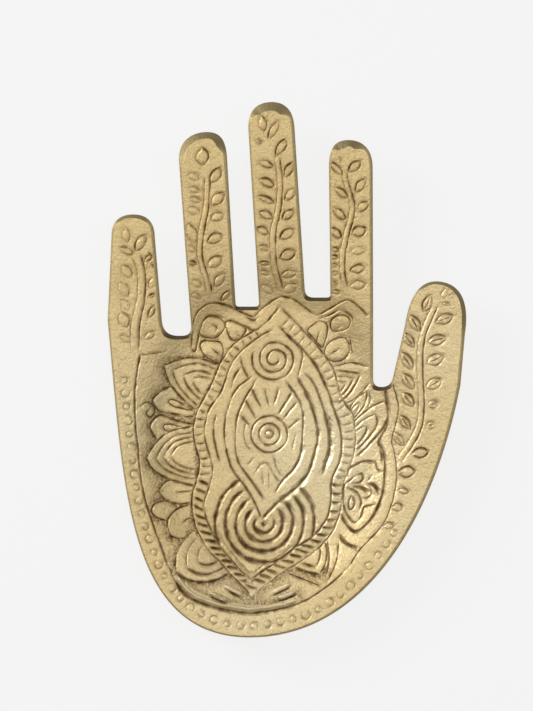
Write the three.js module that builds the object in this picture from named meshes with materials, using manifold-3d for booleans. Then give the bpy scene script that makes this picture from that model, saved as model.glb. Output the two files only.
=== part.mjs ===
// Hamsa tray: a shallow hand-shaped dish cast in one piece, with carved ornament,
// standing on four stick-on felt pads.
// Millimetres, +Z up, +Y towards the fingertips, origin on the table under the middle of the hand.
import * as THREE from "three";
import { mergeVertices } from "three/addons/utils/BufferGeometryUtils.js";
import Module from "manifold-3d";

const wasm = await Module();
wasm.setup();

// Each finger stands on its root, leans to the right by some degrees, and ends in a crown whose
// highest point lies crest to the right of the middle line
const LITTLE = { rootY: 20, length: 42, lean: -1, rootWidth: 21.5, tipWidth: 17.2, crown: 9, crest: 0 };
const RING = {
  rootY: 27.2, length: 67.6, lean: -3.7, rootWidth: 18.4, tipWidth: 19.2, crown: 11, crest: 1.4,
};
const MIDDLE = { rootY: 32, length: 74.8, lean: -3.6, rootWidth: 18.6, tipWidth: 18.4, crown: 11, crest: 0 };
const INDEX = { rootY: 32, length: 59.6, lean: -0.5, rootWidth: 17, tipWidth: 17.4, crown: 11, crest: -1 };
const THUMB = { rootY: -4, length: 39.6, lean: 8.9, rootWidth: 26.8, tipWidth: 24, crown: 19, crest: -0.5 };
const FINGERS = [LITTLE, RING, MIDDLE, INDEX, THUMB];
const CROWN_FULLNESS = 0.66;

// Gaps between neighbouring fingers: width at the roots, height of the bottom, corner radii
const LITTLE_RING_GAP = { width: 11, bottomY: 13.7, leftRadius: 6, rightRadius: 4 };
const RING_MIDDLE_GAP = { width: 9.1, bottomY: 25.4, leftRadius: 1.2, rightRadius: 1.6 };
const MIDDLE_INDEX_GAP = { width: 10.2, bottomY: 29, leftRadius: 3.4, rightRadius: 1.2 };
const INDEX_THUMB_GAP = { width: 8.1, bottomY: -6.8, leftRadius: 3.6, rightRadius: 4 };
const GAPS = [LITTLE_RING_GAP, RING_MIDDLE_GAP, MIDDLE_INDEX_GAP, INDEX_THUMB_GAP];
const LITTLE_FINGER_EDGE_X = -71.1;

// Heel of the hand, and how far the palm's two sides pull away from their ends
const HEEL_X = -14.4;
const HEEL_Y = -106.6;
const HEEL_PULL_LEFT = 49.4;
const HEEL_PULL_RIGHT = 45.3;
const LEFT_SIDE_PULL = [6.1, -65.7];
const RIGHT_SIDE_PULL = [-10.5, -54.1];

// Dish: a flat floor, a cove round it, and a slow lift on towards the fingertips.
// The half sizes are those of the ellipse that touches the edge of the palm.
const DISH_CENTRE_X = -7;
const DISH_CENTRE_Y = -25;
const DISH_HALF_WIDTH = 64.5;
const DISH_HALF_LENGTH = 81.6;
const WALL = 4;
const FLOOR_SHARE = 0.6;
const COVE_RISE = 4.5;
const COVE_SHARE = 0.17;
const FINGER_LIFT = 6;
const LIFT_SHARE = 0.2;
const DISH_STEPS_ROUND = 32;
const DISH_RING_SHARE = 0.1;
const UNDERSIDE_RING_SHARE = 0.2;

// Upper edge: a small chamfer all round, and a filed facet on each fingertip, which is whole over the
// first share of the crown's height and gone at the second
const EDGE_CHAMFER = 1;
const EDGE_OVERRUN = 0.3;
const TIP_FACET_LENGTH = 3;
const TIP_FACET_DROP = 1.6;
const TIP_FACET_WHOLE = 0.1;
const TIP_FACET_GONE = 0.6;

// Spacing of the outline's points
const CROWN_STEP = 4;
const CORNER_STEP = 2;
const SIDE_STEP = 14;
const PALM_STEP = 9;

// Felt pads under the flat floor, each held by a thin adhesive disc
const FELT_DIAMETER = 14;
const FELT_THICKNESS = 2;
const FELT_EDGE = 0.3;
const ADHESIVE_INSET = 0.5;
const ADHESIVE_THICKNESS = 0.4;
const PAD_SPACING_X = 38;
const PAD_SPACING_Y = 62;
const PAD_SIDES = 32;

// Ornament: carved lines are V-shaped grooves, whose cutters stand over the surface by LINE_OVERRUN.
// Stems, leaves and the pupil are raised by RELIEF, and their feet reach into the casting by SINK.
const LINE_WIDTH = 1.8;
const LINE_DEPTH = 0.6;
const LINE_OVERRUN = 0.3;
const LINE_STEP = 6;
const ARC_STEPS_PER_RADIAN = 1.2;
const RELIEF = 0.4;
const SINK = 0.3;
const BORDER_WIDTH = 9.4;
const BORDER_TOP_Y = -82;
const STEM_WIDTH = 2.2;
const LEAF_LENGTH = 6.6;
const LEAF_WIDTH = 3.6;
const LEAF_TILT = 35;
const LEAF_REACH = 4.2;
const ROPE_PITCH = 4.7;
const ROPE_TOP_Y = -44;
const ROPE_SLANT = 1.2;
const ROPE_CUT_END = 0.17;
const KNOB_SIDES = 8;
const KNOB_RINGS = 4;

// Vines, finger by finger: distances down from the fingertip, and the stem's offset to the right
const VINES = [
  {
    stem: [[15, 1], [24, 3.4], [31, 3.7], [38, 2.4], [46, 0.6], [54, 0.8]],
    left: [8, 14, 21, 29, 36, 42, 48, 54],
    right: [10, 17, 28, 33, 39, 46],
  },
  {
    stem: [[15, 0], [22, 1.3], [29, 1.8], [38, -0.3], [49, -2.3], [57, -1.5], [64, 0.3]],
    left: [15, 21, 26, 32, 39, 45, 51, 60],
    right: [18, 27, 35, 43, 53, 60, 67],
  },
  {
    stem: [[18, 1.5], [25, 2.6], [33, 3.1], [41, 1.9], [50, -0.2], [59, -1.6], [67, -1.3], [76, -0.2]],
    left: [8, 15.5, 25, 32, 38, 44, 50, 56, 62, 67, 73],
    right: [12.5, 19, 27, 36, 44, 53, 61, 68, 75],
  },
  {
    stem: [[9.5, -1.8], [15, 0.6], [25, 1.4], [34, -0.4], [43, -2.8], [51, -3.3], [58, -2.6], [64, -1]],
    left: [11, 21.5, 29.5, 37, 43, 48, 53, 58, 63],
    right: [11, 18, 27, 38, 46, 52, 58],
  },
  {
    stem: [[9, 0], [15, -3.2], [22, -5.4], [29, -5.6], [36, -4], [44, -1.9], [52, -0.7], [65, -3.5],
      [73, -7]],
    left: [9.5, 18, 26, 33, 41.5, 49, 57.5, 65],
    right: [15, 24, 31, 40, 48, 58, 68, 76],
  },
];

// Palm ornament, from the middle out. The eye has rings, rays over it and a raised pupil.
const EYE = { x: -6, y: -25.6, pupil: 2.8, rings: [3.8, 7] };
const RAYS = { from: 9.5, to: 17, step: 24, span: 144 };
const SPIRAL = { x: -4.4, y: 4.2, inner: 2.2, outer: 9.2, turns: 2.3, endDegrees: 165, steps: 26 };
const RINGS = { x: -8.4, y: -61.4, radii: [4, 7.6, 11.6, 15.8], from: 126, to: 404 };

// The almond's band and the crescents beside it
const ALMOND_LINES = [
  [[-13.2, -2.8], [-22.3, -12.5], [-24.6, -23.5], [-21.1, -39.8], [-13.2, -51.9], [-9.7, -59.2]],
  [[-11.5, -4], [-19, -17.4], [-19.9, -30], [-14.9, -42.8], [-9.2, -51.4]],
  [[0.5, -5.2], [5.5, -13.1], [6.8, -24], [5.8, -34.5], [-0.6, -43.6], [-4, -48.4]],
  [[5.2, -3.2], [10.1, -14.4], [13, -26], [9.4, -40.2], [-0.1, -50.6], [-9.2, -59.2]],
  [[-28, -18.2], [-28.8, -28], [-26.6, -36.6]],
  [[9.8, -1.5], [13.4, -12.1], [17.6, -27.9], [14.6, -41]],
];

// Frame round the middle of the palm, a rope below: each side's left and right edge line, from the top down
const FRAME_LEFT = [
  [[-12.4, 15.6], [-21.3, 9.2], [-28.3, -2.4], [-35.2, -16], [-37, -23.2], [-34.8, -36.8], [-37.2, -48.8],
    [-36.4, -59.6], [-26.6, -77], [-13.6, -90.5]],
  [[-5.7, 15.9], [-17.9, 7], [-24.4, -4.8], [-30.5, -15.4], [-32.6, -23.2], [-29.6, -41.2], [-32.5, -53],
    [-30.3, -63.9], [-21.4, -75.3], [-13.6, -83.5]],
];
const FRAME_RIGHT = [
  [[-2.2, 17.4], [9.1, 5.8], [15.8, -6.2], [21.8, -23.1], [21.4, -36.8], [18.3, -50.4], [12.4, -62.7],
    [3.8, -71], [-13.6, -83.5]],
  [[-2.2, 24.6], [9.6, 13.2], [18.8, 0.8], [21.6, -8.8], [27, -17.6], [27.6, -30], [23.6, -45.2],
    [21.1, -60.2], [9.4, -75.3], [-7.5, -85.3], [-13.6, -90.5]],
];

// Petals that stand on the frame: upper foot, upper side, tip, lower side, lower foot, and the shares
// of the lines nested in them
const PETALS = [
  { shares: [1, 0.68], corners: [[-27.2, 2], [-37.8, 4.8], [-48.4, 2], [-45.2, -7.2], [-35.8, -16.2]] },
  {
    shares: [1, 0.64],
    corners: [[-37.4, -22.7], [-49.2, -26.4], [-55.4, -34.9], [-49.2, -42.4], [-36.2, -46.4]],
  },
  {
    shares: [1, 0.76],
    corners: [[-36.4, -64.3], [-43, -71.5], [-43.6, -80.8], [-34.2, -84.7], [-22, -81.2]],
  },
  { shares: [1], corners: [[20.8, -0.4], [26.2, -1], [29.7, -1.7], [25.6, -8.8], [21.1, -13.4]] },
  { shares: [1, 0.6], corners: [[27.2, -20.8], [33.1, -15.6], [39.3, -12.8], [39.6, -22], [28.4, -34.4]] },
  { shares: [1], corners: [[15.6, -68.4], [16.4, -74.4], [13.6, -81.6], [8.2, -80.8], [4.2, -79.1]] },
];

// Lobes between the petals, the leaf cell, and the border on the thumb's side
const LOBES = [
  [[-46, -6.6], [-51.3, -9.6], [-51.6, -15.2], [-46, -17.4], [-36.2, -18.4]],
  [[-37, -21.9], [-49.2, -18.2], [-54.2, -22.3], [-51.3, -27.6]],
  [[-37.7, -46.6], [-47.6, -44.8], [-49.4, -50], [-42.4, -53.6], [-38.1, -53.4]],
  [[-43.8, -54.3], [-49.4, -52.2], [-53.3, -56], [-47.2, -60.4]],
  [[-38.1, -54.3], [-45.5, -57.4], [-46.4, -65.6], [-40.8, -66.8]],
];
const CELL = [[22.8, -50], [24.4, -41.6], [28.8, -37.2], [34, -36.4], [39, -44], [37.2, -52], [29.6, -63.6],
  [26, -63.2], [22.8, -58]];
const BORDER_RIGHT = [[42.4, -5.9], [44.2, -14], [42.4, -28], [43.6, -38], [42.1, -54.8], [35.2, -66.4],
  [25.5, -77.4]];

// Scalloped band at the finger roots, and the round petals under it
const SCALLOPS = [
  [[-37.8, 8.6], [-37.4, 17.8], [-29.2, 26.9], [-22.8, 25.4], [-13, 21.3]],
  [[-13, 21.3], [-4.2, 28.2], [-0.8, 29], [4.2, 27.4], [12.6, 21.7]],
  [[12.6, 21.7], [24.2, 27.9], [28.3, 25.8], [32.4, 21.7]],
  [[-35.8, 8.6], [-34.1, 17.2], [-29.2, 21.9], [-24.6, 20.5]],
  [[-24, 19.4], [-16.4, 17.4], [-12.7, 15.6], [-8.1, 19], [-2.6, 25.2]],
];
const ROUND_PETALS = [
  { x: -29.4, y: 17.2, radius: 4.2 },
  { x: -29.4, y: 7.4, radius: 4.4 },
  { x: -20, y: 15.4, radius: 3.8 },
  { x: 13, y: 14.6, radius: 3.8 },
  { x: 22, y: 18.4, radius: 3.6 },
  { x: 20.4, y: 8.2, radius: 4.6 },
];

const BRASS = { color: 0xbfa873, roughness: 0.42, metalness: 0.9 };
const FELT = { color: 0x2b2724, roughness: 0.95, metalness: 0 };
const ADHESIVE = { color: 0xe8e4d8, roughness: 0.5, metalness: 0 };

const point = (x, y) => new THREE.Vector2(x, y);
const UNDERSIDE_Z = FELT_THICKNESS + ADHESIVE_THICKNESS;

// How much wider a raised form is at its sunk foot than where it meets the surface
const FOOT = 1 + SINK / RELIEF;

// Solids and meshes

function toSolid(geometry) {
  const shape = geometry.clone();
  shape.deleteAttribute("normal");
  shape.deleteAttribute("uv");
  const merged = mergeVertices(shape, 1e-4);
  const corners = merged.index.array;
  const triangles = [];
  for (let i = 0; i < corners.length; i += 3) {
    const [a, b, c] = corners.slice(i, i + 3);
    if (a !== b && b !== c && c !== a) triangles.push(a, b, c);
  }
  return new wasm.Manifold(new wasm.Mesh({
    numProp: 3,
    vertProperties: new Float32Array(merged.attributes.position.array),
    triVerts: new Uint32Array(triangles),
  }));
}

function toGeometry(solid) {
  const mesh = solid.getMesh();
  const geometry = new THREE.BufferGeometry();
  geometry.setAttribute("position", new THREE.BufferAttribute(mesh.vertProperties, 3));
  geometry.setIndex(new THREE.BufferAttribute(mesh.triVerts, 1));
  geometry.computeVertexNormals();
  return geometry;
}

function namedMesh(name, geometry, material) {
  const mesh = new THREE.Mesh(geometry, new THREE.MeshStandardMaterial(material));
  mesh.name = name;
  return mesh;
}

// Dish surface

function dishShare(x, y) {
  return Math.hypot((x - DISH_CENTRE_X) / DISH_HALF_WIDTH, (y - DISH_CENTRE_Y) / DISH_HALF_LENGTH);
}

function dishRise(share) {
  const past = Math.max(0, share - FLOOR_SHARE);
  const cove = COVE_RISE * (1 - Math.exp(-((past / COVE_SHARE) ** 2)));
  const lift = (FINGER_LIFT * past * past) / (past + LIFT_SHARE);
  return cove + lift;
}

const underZ = (p) => UNDERSIDE_Z + dishRise(dishShare(p.x, p.y));
const topZ = (p) => underZ(p) + WALL;

// Outline of the hand

function layOutFingers() {
  let edge = LITTLE_FINGER_EDGE_X;
  return FINGERS.map((finger, i) => {
    const lean = THREE.MathUtils.degToRad(finger.lean);
    const along = point(Math.sin(lean), Math.cos(lean));
    const across = point(along.y, -along.x);
    const root = point(edge + finger.rootWidth / 2, finger.rootY);
    edge += finger.rootWidth + (GAPS[i]?.width ?? 0);
    const at = (distance, side) => (
      root.clone().addScaledVector(along, distance).addScaledVector(across, side)
    );
    const shoulder = finger.length - finger.crown;
    return {
      ...finger,
      along,
      across,
      at,
      leftRoot: at(0, -finger.rootWidth / 2),
      rightRoot: at(0, finger.rootWidth / 2),
      leftShoulder: at(shoulder, -finger.tipWidth / 2),
      rightShoulder: at(shoulder, finger.tipWidth / 2),
      apex: at(finger.length, finger.crest),
    };
  });
}

function crownCurves(finger) {
  const rise = finger.along.clone().multiplyScalar(finger.crown * CROWN_FULLNESS);
  const reach = finger.across.clone().multiplyScalar((finger.tipWidth / 2) * CROWN_FULLNESS);
  const { leftShoulder, apex, rightShoulder } = finger;
  return [
    new THREE.CubicBezierCurve(leftShoulder, leftShoulder.clone().add(rise), apex.clone().sub(reach), apex),
    new THREE.CubicBezierCurve(apex, apex.clone().add(reach), rightShoulder.clone().add(rise), rightShoulder),
  ];
}

function pointAtHeight(from, to, y) {
  return from.clone().lerp(to, (y - from.y) / (to.y - from.y));
}

function gapCurves(left, right, gap) {
  const leftCorner = pointAtHeight(left.rightShoulder, left.rightRoot, gap.bottomY);
  const rightCorner = pointAtHeight(right.leftShoulder, right.leftRoot, gap.bottomY);
  const room = rightCorner.x - leftCorner.x;
  const fit = Math.min(1, room / (gap.leftRadius + gap.rightRadius));
  const leftRadius = gap.leftRadius * fit;
  const rightRadius = gap.rightRadius * fit;
  const leftTop = pointAtHeight(left.rightShoulder, left.rightRoot, gap.bottomY + leftRadius);
  const rightTop = pointAtHeight(right.leftShoulder, right.leftRoot, gap.bottomY + rightRadius);
  const leftEnd = leftCorner.clone().add(point(leftRadius, 0));
  const rightEnd = rightCorner.clone().add(point(-rightRadius, 0));
  return [
    new THREE.LineCurve(left.rightShoulder, leftTop),
    new THREE.QuadraticBezierCurve(leftTop, leftCorner, leftEnd),
    new THREE.LineCurve(leftEnd, rightEnd),
    new THREE.QuadraticBezierCurve(rightEnd, rightCorner, rightTop),
    new THREE.LineCurve(rightTop, right.leftShoulder),
  ];
}

function palmSideCurves(fingers) {
  const heel = point(HEEL_X, HEEL_Y);
  const leftTop = fingers[0].leftRoot;
  const rightTop = fingers.at(-1).rightRoot;
  const rightPull = rightTop.clone().add(point(...RIGHT_SIDE_PULL));
  const leftPull = leftTop.clone().add(point(...LEFT_SIDE_PULL));
  return [
    new THREE.CubicBezierCurve(rightTop, rightPull, point(HEEL_X + HEEL_PULL_RIGHT, HEEL_Y), heel),
    new THREE.CubicBezierCurve(heel, point(HEEL_X - HEEL_PULL_LEFT, HEEL_Y), leftPull, leftTop),
  ];
}

// Points along a curve, its last point left to the next curve. A curve of no length has none.
function curvePoints(curve, step) {
  const nothing = 1e-6;
  if (curve.getLength() < nothing) return [];
  return curve.getSpacedPoints(Math.ceil(curve.getLength() / step)).slice(0, -1);
}

function outlinePoints(fingers) {
  const points = curvePoints(new THREE.LineCurve(fingers[0].leftRoot, fingers[0].leftShoulder), SIDE_STEP);
  fingers.forEach((finger, i) => {
    for (const curve of crownCurves(finger)) points.push(...curvePoints(curve, CROWN_STEP));
    const next = fingers[i + 1];
    if (!next) return;
    for (const curve of gapCurves(finger, next, GAPS[i])) {
      points.push(...curvePoints(curve, curve.isLineCurve ? SIDE_STEP : CORNER_STEP));
    }
  });
  const thumb = fingers.at(-1);
  points.push(...curvePoints(new THREE.LineCurve(thumb.rightShoulder, thumb.rightRoot), SIDE_STEP));
  for (const curve of palmSideCurves(fingers)) points.push(...curvePoints(curve, PALM_STEP));
  return points;
}

// Left-hand normals of a path of points
function pathNormals(path, closed) {
  return path.map((p, i) => {
    const before = path[i - 1] ?? (closed ? path.at(-1) : p);
    const after = path[i + 1] ?? (closed ? path[0] : p);
    const direction = after.clone().sub(before).normalize();
    return point(-direction.y, direction.x);
  });
}

// Sweeps rings of 3-D points into a closed solid, either round in a loop or capped at both ends
function loft(rings, closed) {
  const sides = rings[0].length;
  const triangles = [];
  const spans = closed ? rings.length : rings.length - 1;
  for (let i = 0; i < spans; i += 1) {
    const next = (i + 1) % rings.length;
    for (let j = 0; j < sides; j += 1) {
      const k = (j + 1) % sides;
      triangles.push(i * sides + j, next * sides + j, next * sides + k);
      triangles.push(i * sides + j, next * sides + k, i * sides + k);
    }
  }
  const last = (rings.length - 1) * sides;
  for (let j = 1; j < sides - 1 && !closed; j += 1) {
    triangles.push(0, j, j + 1);
    triangles.push(last, last + j + 1, last + j);
  }
  const geometry = new THREE.BufferGeometry().setFromPoints(rings.flat());
  geometry.setIndex(triangles);
  return toSolid(geometry);
}

// The plain casting

function dishReach(outline) {
  return Math.max(...outline.map((p) => dishShare(p.x, p.y))) + DISH_RING_SHARE;
}

// One side of the dish from its middle out, as heights over the distance from the middle
function dishProfile(reach, ringShare, floorZ) {
  const ringCount = Math.ceil((reach - FLOOR_SHARE) / ringShare);
  const shares = [0, FLOOR_SHARE];
  for (let i = 1; i <= ringCount; i += 1) shares.push(FLOOR_SHARE + ((reach - FLOOR_SHARE) * i) / ringCount);
  return shares.map((share) => point(share * DISH_HALF_WIDTH, floorZ + dishRise(share)));
}

// The dish as an oval bowl, turned as a round one and then stretched, wider than the hand all round
function bowl(outline) {
  const reach = dishReach(outline);
  const under = dishProfile(reach, UNDERSIDE_RING_SHARE, UNDERSIDE_Z);
  const top = dishProfile(reach, DISH_RING_SHARE, UNDERSIDE_Z + WALL).reverse();
  const turned = new THREE.LatheGeometry([...under, ...top], DISH_STEPS_ROUND);
  turned.rotateX(Math.PI / 2);
  turned.scale(1, DISH_HALF_LENGTH / DISH_HALF_WIDTH, 1);
  turned.translate(DISH_CENTRE_X, DISH_CENTRE_Y, 0);
  return toSolid(turned);
}

// The hand's outline as a tall upright prism
function handPrism(outline) {
  const depth = 2 * (UNDERSIDE_Z + WALL + dishRise(dishReach(outline)));
  return toSolid(new THREE.ExtrudeGeometry(new THREE.Shape(outline), { depth, bevelEnabled: false }));
}

// How much of the filed facet an outline point has: whole over the middle of a crown, none at its ends
function facetShare(p, fingers) {
  const shares = fingers.map((finger) => {
    const below = finger.apex.clone().sub(p).dot(finger.along);
    const [whole, gone] = [TIP_FACET_WHOLE * finger.crown, TIP_FACET_GONE * finger.crown];
    return 1 - THREE.MathUtils.smoothstep(below, whole, gone);
  });
  const nearest = fingers.map((finger) => finger.apex.distanceTo(p));
  return shares[nearest.indexOf(Math.min(...nearest))];
}

// A cutter that runs round the outline, takes the upper edge off and clears what stands over it.
// Its slanting face runs on a little past the edge's two ends.
function edgeCutter(outline, insetAt, dropAt) {
  const outward = pathNormals(outline, true);
  const rings = outline.map((p, i) => {
    const inset = insetAt(p);
    const drop = dropAt(p);
    const inner = p.clone().addScaledVector(outward[i], -inset * (1 + EDGE_OVERRUN));
    const outer = p.clone().addScaledVector(outward[i], EDGE_CHAMFER * EDGE_OVERRUN);
    const above = topZ(p) + drop + 2 * RELIEF;
    const below = topZ(p) - drop - (drop / inset) * EDGE_CHAMFER * EDGE_OVERRUN;
    return [
      new THREE.Vector3(inner.x, inner.y, above),
      new THREE.Vector3(outer.x, outer.y, above),
      new THREE.Vector3(outer.x, outer.y, below),
      new THREE.Vector3(inner.x, inner.y, topZ(p) + drop * EDGE_OVERRUN),
    ];
  });
  return loft(rings, true);
}

// Ornament

// A three-sided bar along a path: its two edges and its middle line keep their heights over the dish
function bar(path, closed, width, edgeHeight, middleHeight) {
  const normals = pathNormals(path, closed);
  const at = (p, height) => new THREE.Vector3(p.x, p.y, topZ(p) + height);
  const side = Math.sign(middleHeight - edgeHeight) * (width / 2);
  const rings = path.map((p, i) => [
    at(p.clone().addScaledVector(normals[i], side), edgeHeight),
    at(p.clone().addScaledVector(normals[i], -side), edgeHeight),
    at(p, middleHeight),
  ]);
  return loft(rings, closed);
}

// The cutter of a carved line, which stands a little over the surface
function groove(path, closed = false) {
  return bar(path, closed, LINE_WIDTH * (1 + LINE_OVERRUN / LINE_DEPTH), LINE_OVERRUN, -LINE_DEPTH);
}

function spacedPoints(curve) {
  return curve.getSpacedPoints(Math.ceil(curve.getLength() / LINE_STEP));
}

function splineThrough(corners) {
  return new THREE.SplineCurve(corners.map(([x, y]) => point(x, y)));
}

const smoothGroove = (corners) => groove(spacedPoints(splineThrough(corners)));

// Lays a low form on the dish: each of its corners keeps its height over the surface, less the sink
function drape(form) {
  const corners = form.attributes.position;
  for (let i = 0; i < corners.count; i += 1) {
    const p = point(corners.getX(i), corners.getY(i));
    corners.setZ(i, corners.getZ(i) + topZ(p) - SINK);
  }
  return toSolid(form);
}

// A leaf: a four-sided drop, highest and widest in the middle
function leaf(centre, angle, length, width) {
  const lens = new THREE.OctahedronGeometry(1);
  lens.scale(length / 2, width / 2, RELIEF);
  lens.scale(FOOT, FOOT, FOOT);
  lens.rotateZ(angle);
  lens.translate(centre.x, centre.y, 0);
  return drape(lens);
}

// A low round knob
function knob(x, y, diameter) {
  const dome = new THREE.SphereGeometry(1, KNOB_SIDES, KNOB_RINGS);
  dome.rotateX(Math.PI / 2);
  dome.scale(diameter / 2, diameter / 2, RELIEF);
  dome.scale(FOOT, FOOT, FOOT);
  dome.translate(x, y, 0);
  return drape(dome);
}

function arcPath(x, y, radius, fromDegrees, toDegrees) {
  const from = THREE.MathUtils.degToRad(fromDegrees);
  const to = THREE.MathUtils.degToRad(toDegrees);
  const count = Math.ceil(Math.abs(to - from) * Math.max(radius / LINE_STEP, ARC_STEPS_PER_RADIAN));
  return Array.from({ length: count + 1 }, (_, i) => {
    const angle = from + ((to - from) * i) / count;
    return point(x + radius * Math.cos(angle), y + radius * Math.sin(angle));
  });
}

function ringGroove(x, y, radius) {
  return groove(arcPath(x, y, radius, 0, 360).slice(0, -1), true);
}

function stemCurve({ stem }) {
  return new THREE.SplineCurve(stem.map(([below, offset]) => point(below, offset)));
}

// The stem stands out like a low roof
function stem(finger, vine) {
  const path = spacedPoints(stemCurve(vine)).map((p) => finger.at(finger.length - p.x, p.y));
  return bar(path, false, STEM_WIDTH * FOOT, -SINK, RELIEF);
}

function leaves(finger, vine) {
  const curve = stemCurve(vine);
  const [top, bottom] = [curve.points[0].x, curve.points.at(-1).x];
  const turn = Math.atan2(-finger.along.x, finger.along.y);
  const offsetAt = (below) => {
    const share = (below - top) / (bottom - top);
    return curve.getPoint(THREE.MathUtils.clamp(share, 0, 1)).y;
  };
  const row = (distances, side) => distances.map((below) => {
    const centre = finger.at(finger.length - below, offsetAt(below) + side * LEAF_REACH);
    const tilt = THREE.MathUtils.degToRad(side > 0 ? LEAF_TILT : 180 - LEAF_TILT);
    return leaf(centre, tilt + turn, LEAF_LENGTH, LEAF_WIDTH);
  });
  return [...row(vine.left, -1), ...row(vine.right, 1)];
}

// Line that follows the edge of the palm, from under the thumb's side to the little finger
function borderGroove(fingers) {
  const edge = new THREE.CurvePath();
  for (const curve of palmSideCurves(fingers)) edge.add(curve);
  const edgePath = edge.getSpacedPoints(Math.ceil(edge.getLength() / (2 * LINE_STEP)));
  const outward = pathNormals(edgePath, false);
  const path = edgePath.map((p, i) => p.clone().addScaledVector(outward[i], -BORDER_WIDTH));
  return groove(path.filter((p) => p.y < BORDER_TOP_Y || p.x < DISH_CENTRE_X));
}

// One side of the frame: its two edge lines, and lower down the cuts between the strands of the rope,
// which slant down to the right and end just short of the edge lines
function frameGrooves(edges) {
  const [left, right] = edges.map(splineThrough);
  const length = left.getLength();
  const slant = ROPE_SLANT / length;
  const cuts = [];
  for (let share = ROPE_PITCH / length; share < 1 - slant; share += ROPE_PITCH / length) {
    const across = new THREE.LineCurve(left.getPointAt(share - slant), right.getPointAt(share + slant));
    const cut = [across.getPoint(ROPE_CUT_END), across.getPoint(1 - ROPE_CUT_END)];
    if (across.v1.y < ROPE_TOP_Y) cuts.push(groove(cut));
  }
  return [...edges.map(smoothGroove), ...cuts];
}

function eyeGrooves() {
  const { x, y, rings } = EYE;
  const grooves = rings.map((radius) => ringGroove(x, y, radius));
  for (let angle = 90 - RAYS.span / 2; angle <= 90 + RAYS.span / 2; angle += RAYS.step) {
    const direction = THREE.MathUtils.degToRad(angle);
    const at = (radius) => point(x + radius * Math.cos(direction), y + radius * Math.sin(direction));
    grooves.push(groove([at(RAYS.from), at(RAYS.to)]));
  }
  return grooves;
}

// The spiral winds outwards clockwise up to its end
function spiralGroove() {
  const { x, y, inner, outer, turns, endDegrees, steps } = SPIRAL;
  const path = Array.from({ length: steps + 1 }, (_, i) => {
    const radius = inner + ((outer - inner) * i) / steps;
    const angle = THREE.MathUtils.degToRad(endDegrees) + 2 * Math.PI * turns * (1 - i / steps);
    return point(x + radius * Math.cos(angle), y + radius * Math.sin(angle));
  });
  return groove(path);
}

// A curve from start to end that passes through a middle point
function bow(start, middle, end) {
  const pull = middle.clone().multiplyScalar(2).sub(start.clone().add(end).divideScalar(2));
  return new THREE.QuadraticBezierCurve(start, pull, end);
}

// A petal: pointed lines nested one inside the other round the middle of its foot
function petalGrooves({ corners, shares }) {
  const points = corners.map(([x, y]) => point(x, y));
  const middle = points[0].clone().lerp(points[4], 0.5);
  return shares.flatMap((share) => {
    const at = points.map((p) => middle.clone().lerp(p, share));
    return [bow(at[0], at[1], at[2]), bow(at[2], at[3], at[4])].map((curve) => groove(spacedPoints(curve)));
  });
}

function carvedLines(fingers) {
  return [
    borderGroove(fingers),
    ...frameGrooves(FRAME_LEFT),
    ...frameGrooves(FRAME_RIGHT),
    ...eyeGrooves(),
    spiralGroove(),
    ...RINGS.radii.map((radius) => groove(arcPath(RINGS.x, RINGS.y, radius, RINGS.from, RINGS.to))),
    ...PETALS.flatMap(petalGrooves),
    ...[...ALMOND_LINES, ...LOBES, ...SCALLOPS, BORDER_RIGHT].map(smoothGroove),
    groove(CELL.map(([x, y]) => point(x, y)), true),
    ...ROUND_PETALS.map(({ x, y, radius }) => ringGroove(x, y, radius)),
  ];
}

function raisedForms(fingers) {
  const vines = VINES.flatMap((vine, i) => [stem(fingers[i], vine), ...leaves(fingers[i], vine)]);
  return [...vines, knob(EYE.x, EYE.y, EYE.pupil)];
}

// Pieces

// Grooves that meet at a sliver can leave a loose chip, which falls away
function largestBody(solid) {
  return solid.decompose().reduce((largest, body) => (body.volume() > largest.volume() ? body : largest));
}

function trayCasting(fingers, outline) {
  const facet = (p) => facetShare(p, fingers);
  const insetAt = (p) => EDGE_CHAMFER + facet(p) * (TIP_FACET_LENGTH - EDGE_CHAMFER);
  const dropAt = (p) => EDGE_CHAMFER + facet(p) * (TIP_FACET_DROP - EDGE_CHAMFER);
  const relief = raisedForms(fingers).reduce((sum, piece) => sum.add(piece));
  const lines = carvedLines(fingers).reduce((sum, piece) => sum.add(piece));
  const edge = edgeCutter(outline, insetAt, dropAt);
  const casting = bowl(outline).add(relief).intersect(handPrism(outline)).subtract(edge).subtract(lines);
  return namedMesh("tray_casting", toGeometry(largestBody(casting)), BRASS);
}

function roundDisc(radius, fromZ, toZ, edge) {
  const profile = [
    point(0, fromZ),
    point(radius - edge, fromZ),
    point(radius, fromZ + edge),
    point(radius, toZ),
    point(0, toZ),
  ];
  const disc = new THREE.LatheGeometry(profile, PAD_SIDES);
  disc.rotateX(Math.PI / 2);
  return disc;
}

function pads() {
  const group = new THREE.Group();
  for (const [end, sideY] of [["heel", -1], ["finger", 1]]) {
    for (const [hand, sideX] of [["left", -1], ["right", 1]]) {
      const felt = roundDisc(FELT_DIAMETER / 2, 0, FELT_THICKNESS, FELT_EDGE);
      const adhesive = roundDisc(FELT_DIAMETER / 2 - ADHESIVE_INSET, FELT_THICKNESS, UNDERSIDE_Z, 0);
      const pad = new THREE.Group();
      pad.add(namedMesh(`felt_pad_${end}_${hand}`, felt, FELT));
      pad.add(namedMesh(`adhesive_disc_${end}_${hand}`, adhesive, ADHESIVE));
      pad.position.set(
        DISH_CENTRE_X + (sideX * PAD_SPACING_X) / 2,
        DISH_CENTRE_Y + (sideY * PAD_SPACING_Y) / 2,
        0,
      );
      group.add(pad);
    }
  }
  return group;
}

const fingers = layOutFingers();
const outline = outlinePoints(fingers);
const middle = new THREE.Box2().setFromPoints(outline).getCenter(point(0, 0));

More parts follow.
